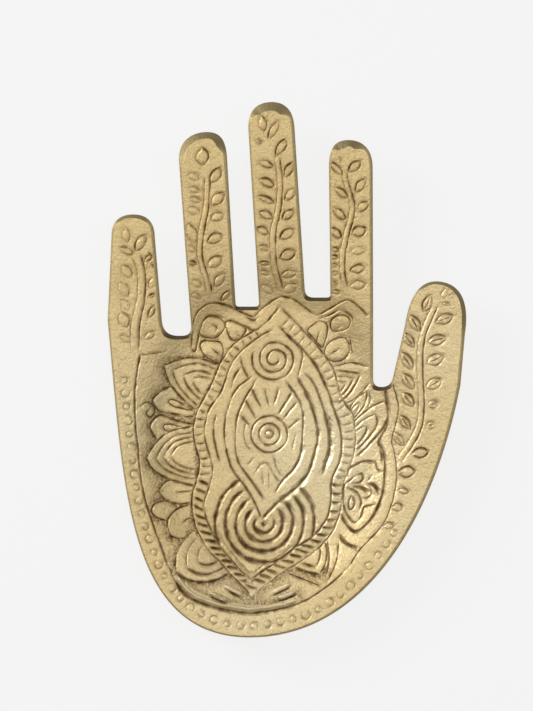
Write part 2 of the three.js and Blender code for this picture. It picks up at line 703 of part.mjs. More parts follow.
const tray = new THREE.Group();
tray.add(trayCasting(fingers, outline));
tray.add(pads());
tray.position.set(-middle.x, -middle.y, 0);

export default tray;
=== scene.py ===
"""Hamsa tray: the carved casting, its felt pads and the adhesive films that hold them.

Sizes are millimetres in the hand's own layout, as in the part's source, where +X points to the thumb
and +Y to the fingertips. They turn into metres only where a mesh is made.
"""
import math
from collections import namedtuple

import bpy
import numpy as np
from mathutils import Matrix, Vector, noise
from mathutils.geometry import delaunay_2d_cdt
from mathutils.kdtree import KDTree


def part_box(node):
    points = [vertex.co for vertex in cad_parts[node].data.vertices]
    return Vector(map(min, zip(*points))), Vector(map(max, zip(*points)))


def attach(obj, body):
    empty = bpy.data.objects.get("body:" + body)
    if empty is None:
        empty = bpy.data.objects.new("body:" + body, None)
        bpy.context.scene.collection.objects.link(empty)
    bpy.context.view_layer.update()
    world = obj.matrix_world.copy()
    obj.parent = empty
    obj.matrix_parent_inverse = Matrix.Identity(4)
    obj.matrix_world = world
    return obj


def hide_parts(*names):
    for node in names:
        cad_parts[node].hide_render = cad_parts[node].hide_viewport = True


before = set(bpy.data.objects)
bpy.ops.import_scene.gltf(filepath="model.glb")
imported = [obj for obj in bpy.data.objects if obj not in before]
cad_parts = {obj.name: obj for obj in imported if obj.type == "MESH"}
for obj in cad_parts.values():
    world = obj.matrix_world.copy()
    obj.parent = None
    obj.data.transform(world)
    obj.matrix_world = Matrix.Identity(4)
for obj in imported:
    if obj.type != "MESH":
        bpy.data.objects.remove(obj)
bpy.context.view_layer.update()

MM = 0.001

# Fingers: root height, length, lean to the right in degrees, widths, crown, and the crown's highest point
Finger = namedtuple("Finger", "root_y length lean root_width tip_width crown crest")
LITTLE = Finger(20, 42, -1, 21.5, 17.2, 9, 0)
RING = Finger(27.2, 67.6, -3.7, 18.4, 19.2, 11, 1.4)
MIDDLE = Finger(32, 74.8, -3.6, 18.6, 18.4, 11, 0)
INDEX = Finger(32, 59.6, -0.5, 17, 17.4, 11, -1)
THUMB = Finger(-4, 39.6, 8.9, 26.8, 24, 19, -0.5)
FINGERS = [LITTLE, RING, MIDDLE, INDEX, THUMB]
CROWN_FULLNESS = 0.66
LITTLE_FINGER_EDGE_X = -71.1

# Gaps between neighbouring fingers: width at the roots, height of the bottom, corner radii
Gap = namedtuple("Gap", "width bottom_y left_radius right_radius")
GAPS = [Gap(11, 13.7, 6, 4), Gap(9.1, 25.4, 1.2, 1.6), Gap(10.2, 29, 3.4, 1.2), Gap(8.1, -6.8, 3.6, 4)]

# Heel of the hand, and how far the palm's two sides pull away from their ends
HEEL = (-14.4, -106.6)
HEEL_PULL_LEFT = 49.4
HEEL_PULL_RIGHT = 45.3
LEFT_SIDE_PULL = (6.1, -65.7)
RIGHT_SIDE_PULL = (-10.5, -54.1)

# Dish: a flat floor, a cove round it, and a slow lift on towards the fingertips
DISH_CENTRE = (-7, -25)
DISH_HALF_SIZE = (64.5, 81.6)
UNDERSIDE_Z = 2.4
WALL = 4
FLOOR_SHARE = 0.6
COVE_RISE = 4.5
COVE_SHARE = 0.17
FINGER_LIFT = 6
LIFT_SHARE = 0.2
CAST_WAVE_LENGTH = 13
CAST_WAVE_HEIGHT = 0.16

# Edges: a small round everywhere, wider on the right, a filed facet over each fingertip, a leaning wall
# in each gap. A facet has a width, runs down its finger's left and right side by some distance, is whole
# over the first share of it, and has a more or less ragged lower edge. A gap's wall starts to lean where
# the outline faces the fingertips by the first value of GAP_WALL_FACING and leans fully from the second,
# but not within CROWN_REACH of a fingertip's highest point.
EDGE_ROUND = 0.8
EDGE_ROUND_RIGHT = 1.5
UNDER_ROUND = 0.9
Facet = namedtuple("Facet", "width left right ragged")
FACETS = [
    Facet(1.5, 9, 9, 0.1), Facet(2.9, 21, 15, 0.1), Facet(3.7, 12, 12, 0.06), Facet(3.2, 9, 9, 0.4),
    Facet(1.2, 12, 30, 0.1),
]
RAGGED_LENGTH = 3.2
FACET_WHOLE_SHARE = 0.55
FACET_DROP = 1.9
CROWN_REACH = 20
GAP_WALL_WIDTH = 1.6
GAP_WALL_DROP = 2.6
GAP_WALL_FACING = (0.45, 0.9)

# Where the rings of points lie on the upper and lower edge, as shares of the way round it
EDGE_SHARES = (0, 0.1, 0.4, 0.7, 1)
UNDER_SHARES = (0, 0.5, 1)

# Mesh spacing
OUTLINE_STEP = 0.7
STROKE_STEP = 0.5
PATH_STEP = 0.5
FIELD_STEP = 0.9
FIELD_CLEARANCE = 0.55
UNDER_STEP = 3
UNDER_CLEARANCE = 1.6

# Points on a curve before it is spaced evenly
CURVE_POINTS = 80
PALM_POINTS = 300
SPLINE_POINTS = 16
ARC_POINTS = 90
SPIRAL_POINTS = 400
FRAME_POINTS = 400

# Kind of triangulation that keeps only what is inside the loop, and the distance at which points merge
INSIDE_TRIANGLES = 1
MERGE_DISTANCE = 1e-6

# Edges of the casting with a larger angle between their faces, in degrees, stay sharp
CAST_SMOOTH_ANGLE = 24

# Rows of points along a carved line: the share of its half width, and the clearance from other points
STROKE_ROWS = ((0, 0.34), (0.5, 0.25), (1, 0.3))

# Carved lines and raised forms. A pair named for a line or a cut is its width and depth. A line gets
# shallower towards its ends over its taper, down to the root of the end share.
LINE_WIDTH = 1.35
LINE_DEPTH = 0.48
LINE_HOLLOW = 1.1
FINE_WIDTH = 1.05
FINE_DEPTH = 0.3
TAPER = 1.6
END_SHARE = 0.25
GROUND_SINK = 0.25
GROUND_REACH = 2.8
GROUND_GRAIN = 0.2
GROUND_GRAIN_LENGTH = 1.4
SKIN_GRAIN = 0.1
SKIN_GRAIN_LENGTH = 2.4

# Lines are drawn by hand: they stray from their paths, in waves of some length and reach, and their
# width and depth are uneven
STRAY = ((11, 0.55), (2.6, 0.16))
UNEVEN_LENGTH = 2.6
UNEVENNESS = 0.6

# The brown wash beside the lines reaches this many times as far as their own width, and lines of some depth
# are stained at the bottom. Round some places, each with its middle, reach and strength, hands have worn
# the
# wash off and a sheen of light is painted: paler metal and stronger painted highlights.
WASH_SPREAD = 2.6
STAIN_DEPTH = 0.44
WEAR_AND_SHEEN_PLACES = [
    ((16, -34), 38, 1), ((64, 6), 32, 0.6), ((54, -62), 30, 0.6), ((-16, -100), 34, 0.6),
    ((-66, -20), 36, 0.5),
]

# Walls of the lines that face this way, in degrees, which is where the key lamp stands, get a painted
# highlight, wholly where they are as steep as the slope. It is measured over a step to either side.
LAMP_FACING_ANGLE = 150
LAMP_FACING_STEP = 0.25
LAMP_FACING_SLOPE = 0.5

# Slices of the noise, one for each use of it
WAVE_SLICE = 0.5
RAGGED_SLICE = 2.5
UNEVEN_SLICE = 4.5
GROUND_SLICE = 7.5
SKIN_SLICE = 9.5
STRAY_SLICES = (11.5, 17.5)

# Vines: each has a stem and leaves, a leaf with its middle, the direction it points in, its size and how
# deep its edges are cut. A leaf swells by LEAF_SWELL times the square of that depth, and some leaves have a
# slit down the middle.
LEAF_DEPTH = 0.43
Leaf = namedtuple("Leaf", "x y angle length width depth", defaults=[LEAF_DEPTH])
Vine = namedtuple("Vine", "stem stem_width leaves slits")
LITTLE_VINE = Vine(
    [(-59.4, 45.5), (-57.8, 40), (-57.3, 35), (-57.4, 31), (-58.2, 26.6), (-59.2, 22.4), (-60.2, 17),
     (-60.4, 8.6)],
    stem_width=3.2,
    leaves=[
        Leaf(-58, 50.6, 58, 7.4, 3.6), Leaf(-63.6, 53.2, 95, 6, 3, 0.22),
        Leaf(-63.4, 47.4, 160, 6.4, 2.6, 0.3), Leaf(-63.3, 39, 125, 6.4, 4, 0.24),
        Leaf(-64.5, 32, 122, 6.4, 4.2, 0.24), Leaf(-64, 26, 130, 5.4, 3.4, 0.2),
        Leaf(-64.4, 20, 112, 6.6, 4.6, 0.3), Leaf(-63.8, 12.4, 150, 5, 2.6, 0.26),
        Leaf(-54.9, 44.6, 40, 4.4, 1.8), Leaf(-53.3, 34.6, 75, 4.6, 2.6, 0.28),
        Leaf(-53.2, 29.4, 20, 2.6, 1.2), Leaf(-53.7, 23, 62, 5.4, 2.2),
        Leaf(-54.6, 13.8, 35, 5, 2.4, 0.28),
    ],
    slits=False,
)
RING_VINE = Vine(
    [(-31, 77), (-31.2, 72), (-31.4, 66), (-32.2, 61), (-33.5, 56), (-34.2, 51), (-34.3, 46), (-33.4, 41),
     (-32, 36), (-30.8, 31)],
    stem_width=2.2,
    leaves=[
        Leaf(-33.2, 85, 93, 7.4, 5.2), Leaf(-27.9, 77.5, 56, 7.4, 3.6, 0.46),
        Leaf(-26.9, 68.4, 46, 7.2, 4, 0.46), Leaf(-27, 61, 28, 5.8, 3.6), Leaf(-28.2, 52.2, 26, 6.6, 4),
        Leaf(-28.1, 42.8, 36, 6.8, 4), Leaf(-26.8, 35.9, 47, 6.4, 3.4), Leaf(-24, 29.6, 45, 5.6, 2.6),
        Leaf(-36.3, 77, 150, 5, 2.6, 0.22), Leaf(-36.2, 71.8, 165, 5, 2.4, 0.22),
        Leaf(-35.7, 67.8, 165, 5, 2.4, 0.26), Leaf(-36.4, 63.4, 170, 5.6, 3.4, 0.26),
        Leaf(-37.3, 54.2, 105, 8, 4.2, 0.28), Leaf(-37.6, 48.2, 150, 4.4, 2.4, 0.24),
        Leaf(-37.4, 42.6, 165, 4, 1.6), Leaf(-36, 34.6, 160, 5, 2.8, 0.28),
        Leaf(-35.8, 29.6, 155, 4.4, 2, 0.22),
    ],
    slits=False,
)
MIDDLE_VINE = Vine(
    [(-3.2, 84), (-2.6, 78), (-2.2, 73), (-2.4, 69), (-3, 64), (-4.4, 57), (-5.1, 51), (-5, 45), (-4.2, 40),
     (-3.2, 35.5), (-2.4, 31.5)],
    stem_width=2.3,
    leaves=[
        Leaf(-9.1, 97.8, 98, 6, 3), Leaf(-4.9, 95.3, 60, 7.6, 3), Leaf(-11, 91.2, 150, 3.6, 1.8, 0.3),
        Leaf(-1.7, 88.4, 60, 8, 3.2, 0.46), Leaf(1.1, 79.5, 60, 6.8, 2.8, 0.46),
        Leaf(1.9, 70.2, 56, 6.6, 3.2, 0.46), Leaf(1.2, 62, 40, 6, 3.2, 0.46),
        Leaf(0.6, 54.2, 34, 6.8, 3.6, 0.46), Leaf(0.8, 46.2, 26, 7, 4, 0.46),
        Leaf(1.2, 38.3, 17, 6.6, 3.4), Leaf(1.6, 32.4, 26, 6.8, 3.8, 0.3), Leaf(-8, 82, 158, 7, 2.8),
        Leaf(-7.6, 74.6, 156, 6.6, 3.2), Leaf(-7.8, 67.6, 156, 7.4, 2.6), Leaf(-7.8, 61.4, 158, 6, 3.2),
        Leaf(-8.9, 55.2, 155, 5.6, 3.2), Leaf(-8.6, 48.6, 160, 4.4, 2.4, 0.3),
        Leaf(-8.4, 42.6, 176, 4.6, 1.6), Leaf(-8.2, 38.8, 168, 4.4, 2, 0.3),
        Leaf(-7.6, 32, 143, 6, 3, 0.26),
    ],
    slits=False,
)
INDEX_VINE = Vine(
    [(23.6, 77.5), (24.8, 72), (26, 68), (26.4, 64), (25.8, 60), (24.6, 56), (23.5, 51), (22.4, 46),
     (22.2, 41), (22.6, 37), (23.8, 32.5)],
    stem_width=2.2,
    leaves=[
        Leaf(27.5, 80.9, 48, 6.4, 3.4), Leaf(30.1, 73.5, 52, 6.6, 3.2),
        Leaf(30.6, 65.2, 38, 6.4, 3.4, 0.46), Leaf(29, 55, 20, 6, 4.4, 0.46),
        Leaf(28.8, 47.2, 5, 6.6, 3.2, 0.24), Leaf(28.8, 40.3, 15, 6.8, 3.4, 0.46),
        Leaf(28.8, 33.8, 10, 6.4, 3.6), Leaf(20.5, 79.8, 134, 7.4, 2.6),
        Leaf(21.2, 83, 110, 2.6, 1.8, 0.22), Leaf(22, 70.6, 143, 6.4, 2.8),
        Leaf(21.4, 62.3, 138, 6.8, 3.2), Leaf(19.9, 54.6, 136, 6, 3.2), Leaf(19.6, 48, 160, 3.4, 1.8),
        Leaf(19.3, 45, 170, 3, 1.4), Leaf(19.2, 41.8, 175, 3, 1.6, 0.3),
        Leaf(19.2, 38.4, 170, 3, 1.6, 0.3), Leaf(19.1, 34.4, 152, 3, 1.4),
        Leaf(19.8, 31, 165, 4, 1.6, 0.3),
    ],
    slits=False,
)
THUMB_VINE = Vine(
    [(59.2, 25.8), (56.4, 19.6), (54.2, 13), (53.4, 6), (53.3, 0), (54, -10), (53.6, -19), (52, -25),
     (49, -30.5), (45.4, -35.6)],
    stem_width=2.3,
    leaves=[
        Leaf(56.2, 26.6, 66, 7.4, 3.6), Leaf(51.2, 18.4, 120, 7.6, 4), Leaf(48.9, 11.7, 128, 7.8, 3.4),
        Leaf(48.2, 3.4, 122, 8.6, 3.8), Leaf(48.9, -4.6, 126, 8, 4), Leaf(48.7, -12, 128, 7.6, 4),
        Leaf(47.6, -21.2, 128, 7, 3.4, 0.5), Leaf(45.2, -28, 126, 6.8, 3.2),
        Leaf(62.9, 20.2, 17, 7.8, 4), Leaf(60.2, 12, 19, 7.8, 4.2), Leaf(59.4, 4.1, 22, 7.8, 4.2),
        Leaf(58.9, -5.4, 30, 7, 4.4, 0.3), Leaf(58.4, -13.8, 10, 4.4, 3.4, 0.26),
        Leaf(57.6, -22, 10, 4.2, 2.8, 0.22), Leaf(63.9, 26.2, 168, 4.4, 1.4, 0.26),
        Leaf(63.2, 30.2, 75, 4.4, 2.4, 0.24), Leaf(66, 29.2, 30, 3, 1.4, 0.22),
    ],
    slits=True,
)
VINES = [LITTLE_VINE, RING_VINE, MIDDLE_VINE, INDEX_VINE, THUMB_VINE]
STEM_HEIGHT = 0.12
STEM_LINE_LEFT = (1, 0.26)
STEM_LINE_RIGHT = (1.25, 0.42)
LEAF_LINE_WIDTH = 1.25
LEAF_TAPER = 1
LEAF_LOWER_SHARE = 0.65
LEAF_SWELL = 1.5
SLIT_SHARE = 0.7
SLIT_WIDTH = 0.95
SLIT_DEPTH_SHARE = 0.9
SLIT_LEAST_WIDTH = 2.5

# Leaves that carry the thumb's vine on down the border
BORDER_LEAVES = [
    Leaf(53.6, -33, 10, 7, 4, 0.55), Leaf(48.2, -40.6, 2, 7, 4.4, 0.6),
    Leaf(47, -48.4, -12, 4.4, 2.6, 0.42), Leaf(44.4, -55, 4, 4.6, 3.2),
    Leaf(41, -62.2, 6, 4.6, 2.8, 0.42),
]

# Border of the palm: a carved line inside the edge with a roll beside it at the heel, and punched rings
# outside it. The rings are open at one side, each turned by some degrees from the one before, and a little
# uneven in size.
BORDER_LINE = [(24.5, -78.8), (20.5, -83), (15, -87.4), (4, -93.4), (-4, -95.8), (-13.2, -96.8),
               (-20, -96.2), (-27.2, -95), (-35.3, -92.2), (-40, -89.2), (-43.6, -84.8), (-47.2, -77.4),
               (-50.5, -68.4), (-54.2, -57), (-56.2, -50), (-58.5, -37), (-59.8, -25), (-60.1, -14),
               (-59.6, -3), (-58.2, 5.9)]
BORDER_ROLL_INSET = 1.9
BORDER_ROLL_WIDTH = 1.8
BORDER_ROLL_HEIGHT = 0.42
BORDER_ROLL_TOP_Y = -82
BORDER_ROLL_END_X = 6
BORDER_ROLL_LINE = (2, 0.8)
BORDER_ROLL_TAPER = 8
BEAD_INSET = 4.6
BEAD_PITCH = 5.4
BEAD_RADIUS = 1.45
BEAD_LINE = (1, 0.23)
BEAD_TAPER = 1
BEAD_ARC = 290
BEAD_TURN = 137
BEAD_UNEVENNESS = 0.18
BEAD_RHYTHM = 2.9
BEAD_HEIGHT = 0.08
BEAD_TOP_Y = -4
BEAD_END_Y = -65
BORDER_RIGHT = [(42.6, -5.2), (43.8, -9), (44.7, -13.5), (44.6, -18), (43.6, -23), (42.4, -28), (43.2, -33),
                (43.9, -38.5), (44.3, -43), (43.5, -48), (42.5, -52), (41, -56.5), (39.5, -60), (37, -63.7),
                (34, -67), (29.3, -72), (25.2, -78)]
BORDER_TOP = [(-58.2, 5.9), (-50, 7.2), (-48, 7.7)]

# Ladder and rope round the middle of the palm, in two halves: the outer and inner edge, their lines, the
# rungs' line, and the strands' slopes at the top and the end of the rope. The rungs swing to and fro.
FRAME_LEFT_OUTER = [(-12.4, 15.6), (-17.9, 12.2), (-21.3, 9.2), (-25.9, 3.1), (-28.3, -2.4),
                    (-30.8, -8.2), (-35.2, -16), (-37, -23.2), (-36.4, -29.2), (-34.8, -36.8),
                    (-35.6, -43.2), (-37.2, -48.8), (-37.4, -54.4), (-36.6, -59.6), (-35, -64.6),
                    (-31, -71.5), (-26, -77), (-22, -81.5), (-17, -86.5), (-13.6, -90.5)]
FRAME_LEFT_INNER = [(-5.7, 15.9), (-12.4, 12), (-17.9, 7), (-22.2, 0.9), (-24.4, -4.8), (-26.5, -9.8),
                    (-30.5, -15.4), (-32.6, -23.2), (-32.2, -29.2), (-30.4, -36), (-29.6, -41.2),
                    (-31.6, -48.4), (-32.7, -53.4), (-32, -58.6), (-30, -64), (-26.5, -70.3),
                    (-22.2, -75.6), (-17.5, -80.5), (-13.6, -83.8)]
FRAME_RIGHT_OUTER = [(-2.2, 24.6), (2, 20.8), (6, 17.2), (9.6, 13.2), (12.8, 9.6), (16, 5.2),
                     (18.8, 0.8), (20.4, -4), (21.6, -8.8), (24, -13.6), (27, -17.6), (28, -25.2),
                     (27.6, -30), (25.6, -39.6), (23.6, -45.2), (22.5, -54), (21, -59.4), (18.5, -65.2),
                     (14, -70.4), (9.4, -74.6), (4, -78.2), (-0.5, -80.4), (-5, -84), (-9, -86.8),
                     (-13.6, -90.5)]
FRAME_RIGHT_INNER = [(-2.2, 17.4), (2.8, 12.4), (9.1, 5.8), (12.4, 1.2), (15.8, -6.2), (18.8, -14.4),
                     (21.8, -23.1), (22.1, -30), (21.4, -36.8), (18.8, -44), (18.3, -50.4), (17.2, -57),
                     (15.2, -61.2), (11.5, -66.4), (4.3, -71.3), (-0.5, -75), (-6.5, -78.9), (-13.6, -83.8)]
ROPE_LINING = [(-27.6, -65.5), (-24, -70.4), (-20, -75), (-16.5, -78.8), (-13.5, -81), (-10, -79.2),
               (-5, -76), (0, -73), (4, -70)]
TIP_STRANDS = [
    [(-17.6, -84), (-14.8, -84.9)],
    [(-15.9, -85.7), (-13.6, -87), (-11.3, -87.2)],
    [(-13.4, -84.7), (-12, -83.9), (-9.4, -84.7), (-7.2, -85.3)],
]
FRAME_REACH = 16
FRAME_STEP = 0.25
Frame = namedtuple("Frame", "outer inner outer_line inner_line rung_line strand_slopes")
FRAME_LEFT = Frame(FRAME_LEFT_OUTER, FRAME_LEFT_INNER, (1.3, 0.46), (1.3, 0.46), (1.1, 0.36), (-28, -6))
FRAME_RIGHT = Frame(FRAME_RIGHT_OUTER, FRAME_RIGHT_INNER, (1.2, 0.38), (1.6, 0.58), (1, 0.25), (-4, -18))
LADDER_PITCH = 3.2
RUNG_SWING = 11
RUNG_RHYTHM = 3
RUNG_TAPER = 0.8
ROPE_PITCH = 3.5
ROPE_END = 2.4
ROPE_TOP_Y = -44
STRAND_LINE = (1.6, 0.68)

# How far short of the frame's outer and inner edge the rungs and strands stop, as shares of their length
RUNG_STOPS = (0.13, 0.13)
STRAND_STOPS = (0.2, 0.03)

# Almond in the middle: the edges of its band, apart from those cut deep, and the crescents beside it
ALMOND_LINES = [
    [(-13.2, -2.8), (-19.5, -7.6), (-22.3, -12.5), (-24, -18.2), (-24.6, -23.5), (-24.2, -28.8),
     (-23.1, -34.1), (-21.1, -39.8), (-16.2, -46.6), (-13.2, -51.9), (-9.7, -59.2)],
    [(-11.5, -4), (-16.6, -12.1), (-19, -17.4), (-19.9, -22.7), (-19.9, -30), (-18.4, -37.6),
     (-14.9, -42.8), (-11.8, -47.1), (-9.2, -51.4)],
    [(0.5, -5.2), (2.8, -8.5), (5.5, -13.1), (6.8, -17.8), (6.8, -24), (6.4, -29), (5.8, -34.5)],
]
CRESCENTS = [
    [(-28, -18.2), (-28.8, -22.7), (-28.8, -28), (-28, -32.1), (-26.6, -36.6)],
    [(8, -1.8), (10.5, -4.5), (12.3, -8.5), (13.5, -12), (15.3, -16.5), (16.5, -21)],
    [(-18.2, 0.6), (-20.4, -2.8), (-21.8, -6.8)],
    [(-17.8, 4.8), (-16.4, 0), (-14.2, -4)],
    [(6.2, 8.8), (7, 5.8), (6.5, 2.8), (5.2, -3.2)],
]

# Lines cut wide and deep on the palm's right: the almond's right edges and the crescent beside them, and
# their broadest stretches, which are cut again
DEEP_LINES = [
    [(6.6, -31), (5.8, -34.5), (3.4, -39.3), (-0.6, -43.6), (-4, -48.4)],
    [(5.2, -3.2), (8.1, -9.8), (10.1, -14.4), (12, -20), (12.9, -26), (12, -32.6), (9.4, -40.2),
     (5.1, -45.8), (-0.1, -50.6), (-4, -54), (-9.2, -59.2)],
    [(15.3, -16.5), (16.5, -21), (17.3, -27), (16.9, -33), (15.6, -38), (14.2, -41.6)],
]
DEEP_LINE = (2, 0.7)
BROAD_LINES = [
    [(16.9, -20), (17.8, -27), (17.4, -33), (16.1, -38), (14.7, -41.6)],
    [(9.2, -40.8), (5.3, -45.9), (0.1, -50.6), (-3.8, -54)],
]
BROAD_LINE = (3, 0.95)
BROAD_TAPER = 4

# Spiral disc over the almond
SPIRAL_CENTRE = (-4.4, 4.2)
SPIRAL_RADII = (1.4, 9.2)
SPIRAL_TURNS = 2.55
SPIRAL_END_ANGLE = 165

# Eye: its rings, a lid with its radius and the angles at its ends, and rays, each an angle and a distance
# from the middle at its outer and inner end
EYE_CENTRE = (-6.6, -25.6)
EYE_RINGS = (4.2, 7.2)
EYE_PUPIL = 1.6
EYE_PUPIL_HEIGHT = 0.4
EYE_PUPIL_LINE = (1.2, 0.4)
EYE_LID = (10, 150, 224)
RAYS = [(147, 13.3, 156, 8.8), (125.5, 16.2, 131, 8.7), (111, 19, 107.6, 11.4), (96, 17.6, 91, 11.2),
        (78, 18.5, 81, 12.3), (62, 18.2, 65, 9), (50, 16.3, 47, 9), (26, 12.9, 18, 8)]
RAY_WIDTHS = (2, 1.3)
RAY_DEPTH = 0.52
RAY_TAPER = 0.8
UNDER_EYE = [
    [(-12.7, -35.4), (-14.9, -38)],
    [(-4.9, -34.5), (-3.2, -39.7), (-1.4, -42.8)],
    [(-12.3, -41), (-9.2, -37.6), (-7.1, -37.6), (-4.9, -41.4), (-2.3, -44.9)],
    [(-9.7, -39.7), (-8.8, -46.2)],
    [(-6.6, -40.2), (-6.6, -46.6)],
    [(4, -25.2), (2.8, -30), (2, -32.8)],
]

# Rings under the almond: their centre, and for each the radius and the angles where it starts and ends
RINGS_CENTRE = (-8.4, -61.4)
RINGS = [(0.6, 0, 360), (4, 150, 400), (7.6, 133, 405), (11.6, 123, 405), (15.8, 125.5, 404),
         (20, 120, 207), (20, -18, 48)]
RING_WIDTH = 2.4
RING_DEPTH = 0.78

# Petals that stand on the frame: upper foot, upper side, tip, lower side, lower foot, and the shares
# of the lines nested in them with their width and depth
Petal = namedtuple("Petal", "upper_foot upper_side tip lower_side lower_foot shares upper_line lower_line")
FINE_PETAL_LINE = (1.1, 0.32)
PETAL_LINE = (1.35, 0.48)
DEEP_PETAL_LINE = (1.8, 0.68)
PETAL_INNER_SHARE = 0.8
PETAL_CORNERS = 5
PETALS = [
    Petal((-27.2, 2), (-37.8, 4.8), (-48.4, 2), (-45.2, -7.2), (-35.8, -16.2), (1, 0.8, 0.55, 0.34),
          PETAL_LINE, PETAL_LINE),
    Petal((-37.4, -22.7), (-49.2, -26.4), (-55.4, -34.9), (-49.2, -42.4), (-36.2, -46.4),
          (1, 0.8, 0.64, 0.48), PETAL_LINE, PETAL_LINE),
    Petal((-36.4, -64.3), (-43, -71.5), (-43.6, -80.8), (-34.2, -84.7), (-22, -81.2), (1, 0.72, 0.4),
          FINE_PETAL_LINE, DEEP_PETAL_LINE),
    Petal((20.8, -0.4), (26.2, -1), (29.7, -1.7), (25.6, -8.8), (21.1, -13.4), (1, 0.68, 0.36),
          PETAL_LINE, PETAL_LINE),
    Petal((25.6, -15.5), (28, -11.6), (32, -8.8), (31.2, -14), (27, -19.6), (1, 0.5), PETAL_LINE,
          PETAL_LINE),
    Petal((27.2, -20.8), (33.1, -15.6), (39.3, -12.8), (39.6, -22), (28.4, -34.4), (1, 0.66, 0.36),
          PETAL_LINE, DEEP_PETAL_LINE),
    Petal((15.6, -68.4), (16.4, -74.4), (13.6, -81.6), (8.2, -80.8), (4.2, -79.1), (1, 0.62),
          PETAL_LINE, DEEP_PETAL_LINE),
]

# Lobes between the petals, their inner loops and slits, and single lines beside them
LOBES = [
    [(-46, -6.6), (-48.8, -7.6), (-51.3, -9.6), (-52.9, -12.1), (-51.6, -15.2), (-49.6, -16.6),
     (-46, -17.4), (-41.1, -18.4), (-36.2, -18.4)],
    [(-37, -21.9), (-44, -20.4), (-49.2, -18.2), (-52.4, -19.6), (-54.2, -22.3), (-53.3, -24.7),
     (-51.3, -27.6)],
    [(-37.7, -46.6), (-44.8, -44.4), (-47.6, -44.8), (-49.8, -47.2), (-49.4, -50), (-47.2, -52),
     (-42.4, -53.6), (-38.1, -53.4)],
    [(-43.8, -54.3), (-46.4, -52.6), (-49.4, -52.2), (-52, -53.4), (-53.3, -56), (-51.2, -58.8),
     (-47.2, -60.4)],
    [(-38.1, -54.3), (-42.4, -55.2), (-45.5, -57.4), (-47.2, -60.4), (-46.4, -65.6), (-43.8, -66.9),
     (-40.8, -66.8)],
]
LOBE_LINES = [
    [(-40.3, -14.5), (-43.6, -12.4), (-46.4, -11.6), (-47, -12.8), (-44.4, -14.8), (-37.8, -16.2)],
    [(-57.8, -14.9), (-55.4, -12.9), (-52.9, -14.1), (-52.2, -16.8), (-54, -18.8), (-55.6, -17.2),
     (-54.2, -16)],
    [(-41.9, -23.1), (-45.2, -21.9), (-48.4, -22), (-48, -24), (-45.6, -24.8)],
    [(-43.3, -48.9), (-37.7, -48.6)],
    [(-41.6, -61.2), (-39, -59.7), (-37.2, -59.5)],
    [(20, 1.7), (26.2, 2.8), (32.4, 1)],
    [(32.8, -5.9), (28.3, -10.7), (24.2, -13.4)],
    [(33, -8.6), (33.5, -12), (32.4, -15.5)],
    [(0.8, -81.2), (5.1, -83), (9.9, -84.7), (14.2, -86)],
    [(16.8, -68.2), (17.2, -74.8), (16.4, -81.7)],
    [(21.2, -68.7), (20.3, -74.3), (18.6, -80), (16.8, -84.3)],
]

# Raised blades between the petals and the heel, each with a cut below it
HEEL_BLADES = [
    [(-24.4, -85.9), (-20.4, -88.4), (-16.8, -90.2)],
    [(-30.4, -88.4), (-27, -90.4), (-23, -92)],
    [(-5.8, -89.2), (-1.8, -87.3), (2, -85.1)],
    [(-4, -91), (-0.4, -90.2), (3.8, -88.2)],
]
BLADE_WIDTH = 2.2
BLADE_HEIGHT = 0.9
BLADE_CUT = (1.4, 0.6)
BLADE_CUT_DROP = 1.3

# Cell of leaves between the frame and the thumb's border: the deep line that runs down from the thumb and
# round it, other deep lines, and its leaves' lines and swells. A swell has its middle, the direction of its
# length, its size and its height.
CELL_DEEP_LINES = [
    [(39.7, -7.6), (40.4, -13), (40.8, -18), (40, -23), (38.2, -26.8), (37.2, -29.4), (38.4, -31.6),
     (39.3, -36), (39.5, -42), (38.8, -48.5), (37, -54), (35, -58), (32, -62), (28.6, -64.6),
     (25.6, -63.2), (23.6, -60.6), (22.4, -58)],
    [(25, -42.4), (26, -39.2), (29, -37.4), (32, -36.4), (35, -37.2)],
    [(27.8, -46.5), (30.5, -47), (33, -48.8)],
    [(33, -45.5), (35, -45.8), (36.5, -47.5), (37, -49.6)],
    [(21.8, -66), (23, -68.2), (25.5, -70), (28, -71)],
]
CELL_DEEP_LINE = (1.9, 0.85)
CELL_LINES = [
    [(35.4, -36.4), (36, -38.2), (36.6, -39.7), (38.2, -40.6)],
    [(24.4, -45), (23.4, -48.4), (23.3, -54), (24.4, -57.6), (27.4, -61), (29.8, -59.2), (30.7, -56.3),
     (31.6, -54.6), (35.2, -53.9)],
    [(24.6, -45.2), (26.6, -43.5), (28.6, -42), (30.5, -41.3), (31.2, -42.8), (30.3, -44.6), (28.2, -45.4)],
    [(25, -47.3), (27.5, -48.1), (29.4, -50), (30.2, -53), (29.4, -56)],
    [(26.6, -50.4), (25.2, -53.6), (25.6, -56), (27.1, -55.4), (27.6, -52.6), (26.6, -50.4)],
    [(32.8, -44.6), (34.5, -42.4)],
    [(33.6, -47.2), (34.3, -49.6), (33, -51), (31, -51.2)],
    [(37.2, -31.6), (38, -34), (38.4, -37.4)],
]
CELL_LINE = (1.4, 0.58)
CELL_SWELLS = [((28.4, -43.4), 38, 7, 3.4, 0.3), ((26.8, -53), 98, 9, 4.4, 0.3),
               ((33.6, -47.6), -35, 6, 3.6, 0.3)]

# Two small flaws of the casting in the little finger's side
FLAWS = [[(-54.6, 46.6), (-53.6, 45.8), (-52.9, 45.2)], [(-53.2, 42.4), (-52.8, 41.4), (-52.6, 40.6)]]
FLAW_LINE = (1.1, 0.9)

